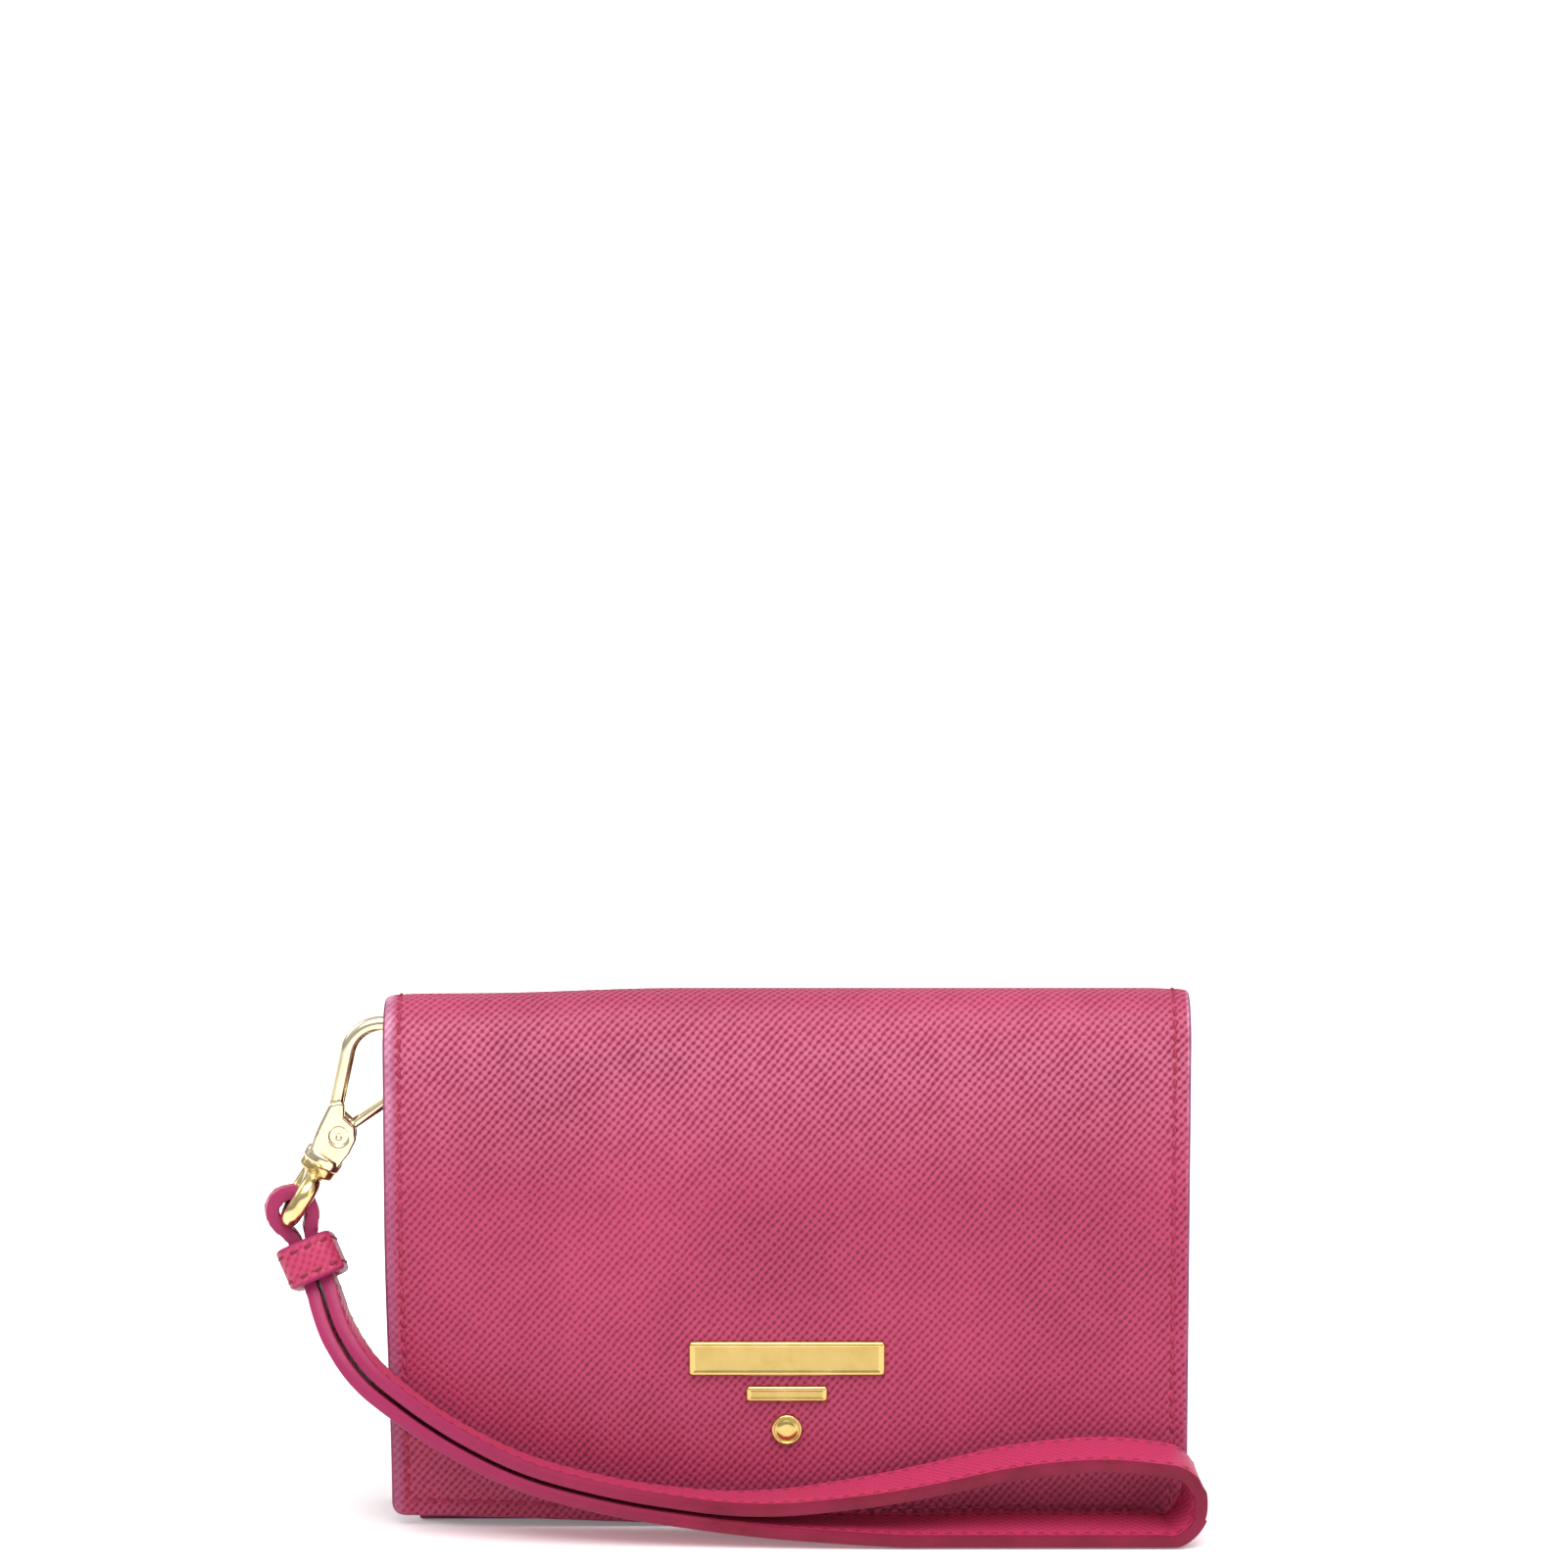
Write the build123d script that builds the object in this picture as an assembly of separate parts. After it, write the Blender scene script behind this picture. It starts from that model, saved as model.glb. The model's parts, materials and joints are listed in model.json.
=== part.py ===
"""Wristlet wallet: a fold-over leather wallet with a snap hook and a flat leather wrist strap.

Millimetres. +X is the wallet's right, -Y its front (the flap side), +Z up. The origin is the
middle of the wallet's bottom: half way along its width, half way through its thickness.
"""
import math
import os

from build123d import *

# ---- driving dimensions -------------------------------------------------------------------
WIDTH = 113.0            # left edge to right edge of the leather shell
HEIGHT = 75.0            # bottom edge to the top of the fold
THICKNESS = 15.0         # closed, over back and flap
LEATHER = 1.4            # shell leather
LINING = 0.6
CORNER = 1.8             # rounding of the shell's free corners
LINING_INSET = 1.0       # the lining stops short of the leather's edge
BODY_INSET = 4.5         # inner pieces stop short of the shell's sides
FLAP_RISE = 0.3          # the flap's free edge above the bottom
HINGE_GAP_DEG = 1.0      # half of the gap that parts the shell at each fold line

CARD_PANEL = 0.8         # thickness of a card slot panel
CARD_DROPS = (17.0, 25.0, 33.0)  # card panels' top edges below the wallet's top, rear one first
THUMB_NOTCH = 9.0        # radius of the scoop in a card panel's top edge
BASE_SHEET = 1.2         # leather strip that closes the bottom
POCKET_DROP = 21.0       # the pocket's mouth below the wallet's top
POCKET_LEATHER = 0.8
POCKET_LINING = 0.5
SNAP_SPACE = 1.8         # from the flap's lining to the pocket's front wall
GUSSET_SHEET = 0.5
GUSSET_DEPTH = 3.0       # how far the pleat reaches into the pocket
SHEET_GAP = 0.3          # clearance between sheets that move apart

SNAP_HEIGHT = 13.0       # centre of the magnetic snap above the bottom
SNAP_RADIUS = 4.5
SNAP_POST = 1.7          # radius of the stud's post
SNAP_CLEARANCE = 0.6     # between post and socket bore
WASHER_RADIUS = 5.5
WASHER = 0.5

BAR_SIZE = (27.6, 5.0)   # emblem: long bar
PLATE_SIZE = (11.5, 2.3)  # emblem: short plate
BOSS_RADIUS = 2.2        # emblem: round boss
BAR_HEIGHT, PLATE_HEIGHT, BOSS_HEIGHT = 24.5, 19.4, 14.2   # centres above the bottom
EMBLEM_RAISE = 0.9       # how far the emblem stands proud of the flap

RING_WIRE = 0.7          # radius of the ring's wire
RING_RISE = 10.2         # centre to centre, along the ring's bar
RING_FRONT_SPACE = 1.25  # flap's lining to the centre of the ring's front wire
RING_FROM_SIDE = 1.6     # ring's bar in from the wallet's left side
RING_OVER_TAB = 1.2      # ring's upper arm above the tab
RING_CORNER = 1.5
TAB_SHEET = 0.8
TAB_PLAY = 0.1           # between the ring's bar and the leather round it
TAB_WIDTH = 8.0
TAB_LENGTH = 8.5

HOOK_WIRE = 0.8          # radius of the hook's frame wire
HOOK_BOW = 4.9           # radius of the hook's top bow, at the wire's centre
HOOK_BOW_PLACE = (-0.6, 12.5)  # bow's centre from the gate's pin, across and up the hook
HOOK_LEG_LEAN = 19.7     # degrees that the frame's leg leans away from the hook's axis
HOOK_MOUTH = 11.7        # where the frame's nose ends, above the pin
HOOK_LEAN = 58.0         # degrees of the hook's axis above horizontal
HOOK_SPACE = 5.0         # flap's lining to the hook's middle plane
HEAD_THICK = 3.6
# outline of the frame's flat head round the pin, across and up the hook
HEAD_OUTLINE = ((-3.2, 3.3), (-2.9, 0.2), (-2.6, -1.8), (-2.0, -4.2), (2.0, -4.2), (2.3, -1.4),
                (2.1, 0.7), (1.0, 2.2), (-1.0, 2.6), (-2.0, 4.4))
HEAD_CORNER = 0.45
DISH_RADIUS = 1.55       # round recess over the pin's end
CLEVIS = 2.0             # slot for the gate
PIN_RADIUS = 0.5
PIN_CLEARANCE = 0.06
GATE_WIRE = 0.72
GATE_REACH = 12.2        # pin to the gate's tip
GATE_LEAN = 23.0         # degrees from the hook's axis
FLANGE_RADIUS, FLANGE = 2.6, 1.2
NECK_END = 4.9           # neck's lower end below the pin
STEM_RADIUS = 0.9
STEM_CLEARANCE = 0.1

EYE_BAR = 1.1            # radius of the bar that holds the strap
EYE_DROP = 12.8          # bar below the gate's pin
EYE_CORNER = 2.2
EYE_SLACK = 3.2          # eye's inner width over the strap's width

STRAP_WIDTH = 9.5
STRAP_THICK = 1.9
STRAP_GAP = 0.6          # between the two strands where they run together
STRAP_SLACK = 0.65       # between the eye's bar and the strap's small loop
NECK_DIP = 67.1          # degrees below horizontal of the strap where it leaves the eye
NECK_LENGTH = 16.45      # from the eye's bar to the end of the straight neck
LOOP_OVERHANG = 1.25     # the wrist loop's far end beyond the wallet's right side
LOOP_CORNERS = (5.5, 4.4)    # the wrist loop's lower and upper end corners
STRAP_FORWARD = 1.4      # the strap's middle in front of the eye's middle
STRAP_PASS = 6.1         # and in front of the flap's face where it passes the flap's edge
STRAP_FRONT = 7.0        # and in front of the flap's face along the wrist loop
KEEPER_LENGTH = 5.9
KEEPER_WALL = 1.4
KEEPER_PLAY = 0.25       # round the strands' thickness
KEEPER_SIDE_PLAY = 0.4   # at the strap's two edges
KEEPER_FROM_BAR = 7.6    # eye's bar to the keeper's middle

# ---- places that follow from them ----------------------------------------------------------
half_width = WIDTH / 2
shell_radius = THICKNESS / 2
fold_z = HEIGHT - shell_radius
front_y, rear_y = -shell_radius, shell_radius
skin = LEATHER + LINING
inner_rear = rear_y - skin
inner_front = front_y + skin
body_half = half_width - BODY_INSET
slot_front = inner_rear - CARD_PANEL * len(CARD_DROPS)
pocket_top = HEIGHT - POCKET_DROP
pocket_front_y = inner_front + SNAP_SPACE
pocket_rear_of_wall = pocket_front_y + POCKET_LEATHER + POCKET_LINING

ring_x = -half_width + RING_FROM_SIDE
tab_inner = RING_WIRE + TAB_PLAY
tab_outer = tab_inner + TAB_SHEET
ring_y = inner_rear - tab_outer
ring_top = fold_z + RING_OVER_TAB
bow_from_ring = (-2.0, ring_top - 2.5)       # bow's centre: x from the ring, and height
lean = math.radians(HOOK_LEAN)
hook_up = Vector(math.cos(lean), 0, math.sin(lean))
hook_across = Vector(math.sin(lean), 0, -math.cos(lean))
hook_y = inner_front + HOOK_SPACE
bow_centre = Vector(ring_x + bow_from_ring[0], hook_y, bow_from_ring[1])
pin_point = bow_centre - hook_up * HOOK_BOW_PLACE[1] - hook_across * HOOK_BOW_PLACE[0]
hook_plane = Plane(origin=pin_point, x_dir=hook_across, z_dir=(0, -1, 0))

eye_point = pin_point - hook_up * EYE_DROP
dip = math.radians(NECK_DIP)
neck_down = Vector(math.cos(dip), 0, -math.sin(dip))
neck_side = Vector(-math.sin(dip), 0, -math.cos(dip))    # towards the lower left


# ---- small helpers ---------------------------------------------------------------------------
def slab(x0, x1, y0, y1, z0, z1):
    middle = Pos((x0 + x1) / 2, (y0 + y1) / 2, (z0 + z1) / 2)
    return middle * Box(x1 - x0, y1 - y0, z1 - z0)


def through_y(sketch, y0, y1):
    """A sketch of X and Z, made solid from y0 to y1."""
    return extrude(Plane.XZ.offset(-y1) * sketch, amount=y1 - y0)


def through_x(sketch, x0, x1):
    """A sketch of Y and Z, made solid from x0 to x1."""
    return extrude(Plane.YZ.offset(x0) * sketch, amount=x1 - x0)


def through_z(sketch, z0, z1):
    return extrude(Plane.XY.offset(z0) * sketch, amount=z1 - z0)


def disc(x, z, y0, y1, radius):
    return Pos(x, (y0 + y1) / 2, z) * Rot(90, 0, 0) * Cylinder(radius, y1 - y0)


def round_corners(solid, radius, group):
    """Rounds the corners whose edges run front to back, at the bottom (0) or the top (-1)."""
    return fillet(solid.edges().filter_by(Axis.Y).group_by(Axis.Z)[group], radius)


# ---- shell: back, fold and flap ---------------------------------------------------------------
def fold_band(outer, inner, start, end):
    """Part of the fold's ring between two radii, from start to end degrees (0 is the back)."""
    centre = (0, fold_z)
    arcs = CenterArc(centre, outer, start, end - start), CenterArc(centre, inner, start, end - start)
    sides = Line(arcs[0] @ 0, arcs[1] @ 0), Line(arcs[0] @ 1, arcs[1] @ 1)
    return make_face([*arcs, *sides])


def shell_sheet(outer, inner, half, bottom, start, end):
    """One layer of the shell: its part of the fold, and below it the back or the flap."""
    solid = through_x(fold_band(outer, inner, start, end), -half, half)
    if start == 0:
        solid += slab(-half, half, inner, outer, bottom, fold_z)
    if end == 180:
        solid += slab(-half, half, -outer, -inner, bottom, fold_z)
    if start > 0 and end < 180:
        return solid
    return round_corners(solid, CORNER, 0)


def shell_layers(name, start, end, bottom):
    inner_face = shell_radius - LEATHER
    lined_half = half_width - LINING_INSET
    lined_bottom = bottom + (BASE_SHEET if start == 0 else LINING_INSET)
    return {
        f"{name}_leather": shell_sheet(shell_radius, inner_face, half_width, bottom, start, end),
        f"{name}_lining": shell_sheet(
            inner_face, inner_face - LINING, lined_half, lined_bottom, start, end),
    }


def shell():
    first, second = 45.0, 135.0
    parts = shell_layers("back", 0, first - HINGE_GAP_DEG, 0)
    parts |= shell_layers("spine", first + HINGE_GAP_DEG, second - HINGE_GAP_DEG, 0)
    parts |= shell_layers("flap", second + HINGE_GAP_DEG, 180, FLAP_RISE)
    recess = disc(0, SNAP_HEIGHT, inner_front - LINING - WASHER, inner_front - LINING, WASHER_RADIUS)
    parts["flap_leather"] -= recess
    parts["socket_washer"] = recess
    return parts


# ---- inside: card slots, pocket, snap -----------------------------------------------------------
def card_slots():
    parts = {}
    for index, drop in enumerate(CARD_DROPS):
        top = HEIGHT - drop
        rear = inner_rear - CARD_PANEL * index
        panel = slab(-body_half, body_half, rear - CARD_PANEL, rear, BASE_SHEET, top)
        notch = disc(0, top + THUMB_NOTCH * 0.55, rear - CARD_PANEL - 1, rear + 1, THUMB_NOTCH)
        parts[f"card_slot_{index + 1}"] = panel - notch
    return parts


def gusset(side):
    """A pleated sheet that joins the last card panel to the pocket's front wall."""
    outer = side * (body_half - SHEET_GAP)
    rear, front = slot_front - SHEET_GAP, pocket_rear_of_wall + SHEET_GAP
    middle = (rear + front) / 2
    fold = outer - side * GUSSET_DEPTH
    pleat = Polyline((outer, rear), (fold, middle), (outer, front))
    thick = Polyline((outer - side * GUSSET_SHEET, rear), (fold - side * GUSSET_SHEET, middle),
                     (outer - side * GUSSET_SHEET, front))
    ends = Line(pleat @ 0, thick @ 0), Line(pleat @ 1, thick @ 1)
    return through_z(make_face([pleat, thick, *ends]), BASE_SHEET + SHEET_GAP, pocket_top - 1)


def pocket():
    wall = pocket_front_y, pocket_front_y + POCKET_LEATHER, pocket_rear_of_wall
    low = BASE_SHEET + SHEET_GAP
    half = body_half - SHEET_GAP
    front = slab(-half, half, wall[0], wall[1], low, pocket_top)
    lining = slab(-half + 1, half - 1, wall[1], wall[2], low + 0.5, pocket_top - 1)
    front = round_corners(front, CORNER, -1)
    prong_radius = SNAP_POST / 2
    prong = disc(0, SNAP_HEIGHT, wall[0], wall[2], prong_radius)
    tip = inner_front + 0.2
    stud = disc(0, SNAP_HEIGHT, wall[0] - WASHER, wall[0], SNAP_RADIUS - 0.3)
    stud += disc(0, SNAP_HEIGHT, tip, wall[0], SNAP_POST) + prong
    return {
        "pocket_front": front - prong,
        "pocket_lining": lining - prong,
        "snap_stud": stud,
        "stud_washer": disc(0, SNAP_HEIGHT, wall[2], wall[2] + WASHER, SNAP_RADIUS - 0.6),
        "flap_pocket": slab(-half + 4, half - 4, inner_front, inner_front + LINING,
                            SNAP_HEIGHT + SNAP_RADIUS + 4, pocket_top + 4),
        "gusset_left": gusset(-1),
        "gusset_right": gusset(1),
    }


def snap_socket():
    front, rear = inner_front, pocket_front_y - WASHER - 0.2
    bore = SNAP_POST + SNAP_CLEARANCE
    return disc(0, SNAP_HEIGHT, front, rear, SNAP_RADIUS) - disc(0, SNAP_HEIGHT, front - 1, rear + 1, bore)


def base_strip():
    return slab(-body_half, body_half, pocket_front_y - SHEET_GAP, rear_y - LEATHER, 0, BASE_SHEET)


# ---- emblem ---------------------------------------------------------------------------------------
def emblem_block(size, height, bevel):
    width, tall = size
    low, high = height - tall / 2, height + tall / 2
    block = slab(-width / 2, width / 2, front_y - EMBLEM_RAISE, front_y, low, high)
    return chamfer(block.faces().sort_by(Axis.Y)[0].edges(), bevel)


def emblem():
    boss = disc(0, BOSS_HEIGHT, front_y - EMBLEM_RAISE, front_y, BOSS_RADIUS)
    return {
        "emblem_bar": emblem_block(BAR_SIZE, BAR_HEIGHT, 0.5),
        "emblem_plate": emblem_block(PLATE_SIZE, PLATE_HEIGHT, 0.4),
        "emblem_boss": fillet(boss.faces().sort_by(Axis.Y)[0].edges(), 0.5),
    }


# ---- ring and its tab ---------------------------------------------------------------------------
def ring():
    """A rectangular ring: its bar stands in the tab, its front reaches towards the flap."""
    front, low = inner_front + RING_FRONT_SPACE, ring_top - RING_RISE
    corners = [(ring_y, low), (front, low), (front, ring_top), (ring_y, ring_top)]
    path = Plane.YZ.offset(ring_x) * FilletPolyline(*corners, radius=RING_CORNER, close=True)
    profile = Plane(path @ 0, z_dir=path % 0) * Circle(RING_WIRE)
    return sweep(profile, path=path)


def ring_tab():
    """A leather strip folded round the ring's bar, its two ends sewn to the back lining."""
    eye = Pos(ring_x, ring_y) * (Circle(tab_outer) - Circle(tab_inner))
    eye -= Pos(ring_x + tab_outer, ring_y) * Rectangle(2 * tab_outer, 4 * tab_outer)
    end = ring_x + TAB_LENGTH
    rear_leg = Pos((ring_x + end) / 2, inner_rear - TAB_SHEET / 2) * Rectangle(TAB_LENGTH, TAB_SHEET)
    near, far = ring_y - tab_outer, ring_y - tab_inner
    step = 2 * tab_inner
    front_leg = make_face(Polyline(
        (ring_x, near), (ring_x + 1.4, near), (ring_x + 4, near + step), (end, near + step),
        (end, far + step), (ring_x + 3.6, far + step), (ring_x + 1, far), (ring_x, far), close=True))
    return through_z(eye + rear_leg + front_leg, fold_z - TAB_WIDTH, fold_z)


# ---- snap hook ------------------------------------------------------------------------------------
def along_axis(radius, low, high):
    """A round piece on the hook's axis, in the hook's plane, from low to high."""
    return Pos(0, (low + high) / 2, 0) * Rot(90, 0, 0) * Cylinder(radius, high - low)


def hook_frame():
    across, height = HOOK_BOW_PLACE
    bow = CenterArc((across, height), HOOK_BOW, 180 + HOOK_LEG_LEAN, -180 - HOOK_LEG_LEAN)
    leg_run = (bow @ 0).Y - 1
    foot = (bow @ 0) - (bow % 0) * (leg_run / (bow % 0).Y)
    nose = Line(bow @ 1, (across + HOOK_BOW, HOOK_MOUTH))
    path = Wire([Line(foot, bow @ 0), bow, nose])
    wire = sweep(Plane(path @ 0, z_dir=path % 0) * Circle(HOOK_WIRE), path=path)
    outline = make_face(FilletPolyline(*HEAD_OUTLINE, radius=HEAD_CORNER, close=True).edges())
    frame = extrude(outline, amount=HEAD_THICK / 2, both=True) + wire
    frame += along_axis(FLANGE_RADIUS, -NECK_END, -NECK_END + FLANGE)
    # slot for the gate, open upwards and to the right
    frame -= Pos(1.65, 1.5, 0) * Box(6.0, 6.2, CLEVIS)
    for side in (1, -1):
        frame -= Pos(0, 0, side * HEAD_THICK / 2) * Cylinder(DISH_RADIUS, 0.6)
    frame -= Cylinder(PIN_RADIUS, HEAD_THICK)
    # swivel socket: a bore and, above it, room for the stem's head
    frame -= along_axis(STEM_RADIUS + STEM_CLEARANCE, -NECK_END - 1, -NECK_END + 1.25)
    frame -= along_axis(STEM_RADIUS + 0.6, -NECK_END + 1.2, -NECK_END + 2.0)
    return hook_plane * frame


def gate():
    """Hub on the pin, with a straight round shank that closes the hook's mouth."""
    hub = Cylinder(PIN_RADIUS + 0.8, CLEVIS * 0.55)
    shank = along_axis(GATE_WIRE, PIN_RADIUS + 0.6, GATE_REACH - GATE_WIRE)
    shank += Pos(0, GATE_REACH - GATE_WIRE, 0) * Sphere(GATE_WIRE)
    body = Rot(0, 0, -GATE_LEAN) * shank + Pos(0, 0, CLEVIS * 0.1) * hub
    return hook_plane * (body - Cylinder(PIN_RADIUS + PIN_CLEARANCE, 2 * HEAD_THICK))


def gate_spring():
    """A ring-shaped torsion spring on the pin, between the gate's hub and the rear cheek."""
    height = CLEVIS * 0.2
    ring_shape = Cylinder(PIN_RADIUS + 0.55, height) - Cylinder(PIN_RADIUS + PIN_CLEARANCE, 1)
    return hook_plane * Pos(0, 0, -CLEVIS / 2 + height / 2 + 0.05) * ring_shape


def swivel_eye():
    """A stem with a head, a flange, and an eye of round wire whose lower bar holds the strap."""
    side = (STRAP_WIDTH + EYE_SLACK) / 2 + EYE_BAR
    under = -NECK_END - 0.2
    top = under - FLANGE - EYE_BAR * 0.6
    corners = [(side, top), (-side, top), (-side, -EYE_DROP), (side, -EYE_DROP)]
    loop = FilletPolyline(*corners, radius=EYE_CORNER, close=True)
    path = Plane(origin=(0, 0, 0), x_dir=(0, 0, 1), z_dir=(-1, 0, 0)) * loop
    eye = sweep(Plane(path @ 0, z_dir=path % 0) * Circle(EYE_BAR), path=path)
    eye += along_axis(FLANGE_RADIUS - 0.2, under - FLANGE, under)
    eye += along_axis(STEM_RADIUS, under - FLANGE, -NECK_END + 1.35)
    eye += along_axis(STEM_RADIUS + 0.45, -NECK_END + 1.3, -NECK_END + 1.9)
    return hook_plane * eye


# ---- strap and keeper ---------------------------------------------------------------------------
def even_radius(before, corner, after):
    """The largest arc that the two runs at a corner leave room for."""
    first, second = corner - before, after - corner
    turn = math.radians(first.get_angle(second))
    return 0.45 * min(first.length, second.length) / math.tan(turn / 2)


def shared_run():
    """The middle line between the two strands, from the keeper to where they part."""
    neck_end = eye_point + neck_down * NECK_LENGTH
    run = half_width + LOOP_OVERHANG - neck_end.X
    low = STRAP_THICK + STRAP_GAP / 2
    # share of the run to the far end, and share of the neck end's height over the strap's lie
    shares = [(0.034, 0.800), (0.116, 0.505), (0.213, 0.272), (0.330, 0.133), (0.480, 0.048)]
    lie = [Vector(neck_end.X + a * run, hook_y, low + b * (neck_end.Z - low)) for a, b in shares]
    return [eye_point + neck_down * 3.6, neck_end, *lie]


def strand_points():
    """The strap's centreline in X and Z as a closed outline of corners, and each corner's radius."""
    spread = (STRAP_THICK + STRAP_GAP) / 2
    floor_z = STRAP_THICK / 2
    far_x = half_width + LOOP_OVERHANG
    middle = shared_run()
    start_x = middle[1].X
    run = far_x - start_x
    # past it the strands part: share of the run, and height of the centreline over the lower strand
    lower = [(0.64, 0.45), (0.79, 0.0)]
    upper = [(0.64, 6.3), (0.79, 10.6), (0.895, 11.75)]

    def beside(index, side):
        here = middle[index]
        before = middle[index - 1] if index else eye_point
        after = middle[index + 1] if index + 1 < len(middle) else here + (here - before)
        ahead = ((here - before).normalized() + (after - here).normalized()).normalized()
        return here + Vector(ahead.Z, 0, -ahead.X) * spread * side

    left = [beside(i, 1) for i in range(len(middle))]
    right = [beside(i, -1) for i in range(len(middle))]
    left += [Vector(start_x + a * run, hook_y, floor_z + h) for a, h in lower]
    right += [Vector(start_x + a * run, hook_y, floor_z + h) for a, h in upper]
    end = [Vector(far_x, hook_y, floor_z), Vector(far_x, hook_y, floor_z + upper[-1][1] - 1.6)]

    reach = EYE_BAR + STRAP_SLACK + STRAP_THICK / 2
    corner = [eye_point + neck_side * side * reach - neck_down * reach for side in (1, -1)]
    waist = [eye_point + neck_side * side * reach + neck_down * 0.9 for side in (1, -1)]
    outline = [corner[0], waist[0], *left, *end, *reversed(right), waist[1], corner[1]]
    fixed = {0: reach * 0.98, 1: 2.4, 2: 2.4}
    last = len(outline) - 1
    fixed |= {last - key: value for key, value in fixed.items()}
    fixed |= {len(left) + 2 + i: radius for i, radius in enumerate(LOOP_CORNERS)}
    radii = [
        fixed.get(i) or even_radius(outline[i - 1], outline[i], outline[(i + 1) % len(outline)])
        for i in range(len(outline))
    ]
    return outline, radii


def strap_plan():
    """The strap's centre as seen square to the neck: along it, and towards the front."""
    middle = shared_run()
    reach = STRAP_THICK + STRAP_GAP / 2
    after = next(i for i, p in enumerate(middle) if p.X > -half_width - reach)
    start, end = middle[after - 1], middle[after]
    meet = start + (end - start) * ((-half_width - reach - start.X) / (end.X - start.X))
    edge = (meet - eye_point).dot(neck_down) - 1    # along the neck, where the flap's edge is
    eye, far = STRAP_FORWARD - hook_y, shell_radius + STRAP_FRONT
    front = [(-8, eye), (3, eye), (edge * 0.52, eye + 2.4), (edge, shell_radius + STRAP_PASS),
             (edge + 46, far), (WIDTH + 30, far)]
    return front, [12, 15, 15, 60]


def beside_outline(outline, radii, inward):
    """The closed outline moved sideways by the same distance all along, as a filled face."""
    corners, bends = [], []
    for i, here in enumerate(outline):
        arriving = (here - outline[i - 1]).normalized()
        leaving = (outline[(i + 1) % len(outline)] - here).normalized()
        turn = arriving.X * leaving.Z - arriving.Z * leaving.X     # positive to the left
        ahead = (arriving + leaving).normalized()
        move = Vector(-ahead.Z, 0, ahead.X) * (inward / ahead.dot(arriving))
        corners.append(((here + move).X, (here + move).Z))
        bends.append(radii[i] - math.copysign(inward, turn))
    return make_face(FilletPolyline(*corners, radius=bends, close=True).edges())


def strap():
    outline, radii = strand_points()
    half = STRAP_THICK / 2
    ribbon = beside_outline(outline, radii, -half) - beside_outline(outline, radii, half)
    ribbon = through_y(ribbon, front_y - STRAP_FRONT - STRAP_WIDTH, STRAP_WIDTH)
    points, bends = strap_plan()
    band = trace(FilletPolyline(*points, radius=bends), STRAP_WIDTH)
    across = Plane(origin=eye_point - Vector(0, eye_point.Y, 0), x_dir=neck_down, z_dir=neck_side)
    depth = WIDTH + 20
    return ribbon & extrude(across.offset(-depth) * band, amount=depth + 20)


def keeper_frame():
    """The keeper's own plane: x down the strap, z through the two strands."""
    points, _ = strap_plan()
    (t0, f0), (t1, f1) = points[1], points[2]
    slope = (f1 - f0) / (t1 - t0)
    down = (neck_down + Vector(0, -slope, 0)).normalized()
    front = f0 + (KEEPER_FROM_BAR - t0) * slope
    middle = eye_point + neck_down * KEEPER_FROM_BAR
    return Plane(origin=(middle.X, -front, middle.Z), x_dir=down, z_dir=neck_side)


def keeper():
    inner_thick = 2 * STRAP_THICK + STRAP_GAP + 2 * KEEPER_PLAY
    inner_wide = STRAP_WIDTH + 2 * KEEPER_SIDE_PLAY
    outer = Box(KEEPER_LENGTH, inner_wide + 2 * KEEPER_WALL, inner_thick + 2 * KEEPER_WALL)
    outer = fillet(outer.edges().filter_by(Axis.X), 1.2)
    return keeper_frame() * (outer - Box(2 * KEEPER_LENGTH, inner_wide, inner_thick))


# ---- all pieces --------------------------------------------------------------------------------------
def build():
    parts = shell() | card_slots() | pocket() | emblem()
    parts["base_strip"] = base_strip()
    parts["snap_socket"] = snap_socket()
    parts["d_ring"] = ring()
    parts["ring_tab"] = ring_tab()
    parts["hook_frame"] = hook_frame()
    parts["gate_pin"] = hook_plane * Cylinder(PIN_RADIUS, HEAD_THICK - 0.6)
    parts["gate"] = gate()
    parts["gate_spring"] = gate_spring()
    parts["swivel_eye"] = swivel_eye()
    parts["strap"] = strap()
    parts["keeper"] = keeper()
    return parts


os.makedirs("parts", exist_ok=True)
for name, shape in build().items():
    solids = shape.solids()
    solid = solids[0] if len(solids) == 1 else Compound(children=list(solids))
    export_step(solid, f"parts/{name}.step")
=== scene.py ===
"""Wristlet wallet in pink cross-grained leather, with gold hardware and a leather wrist strap.

Sizes are in millimetres, and mesh_object() makes metres of them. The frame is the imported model's:
+X the wallet's right, -Y its front, +Z up, the floor at z = 0.
"""
import bisect
import json
import math
import random

import bmesh
import bpy
from mathutils import Matrix, Vector


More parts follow.
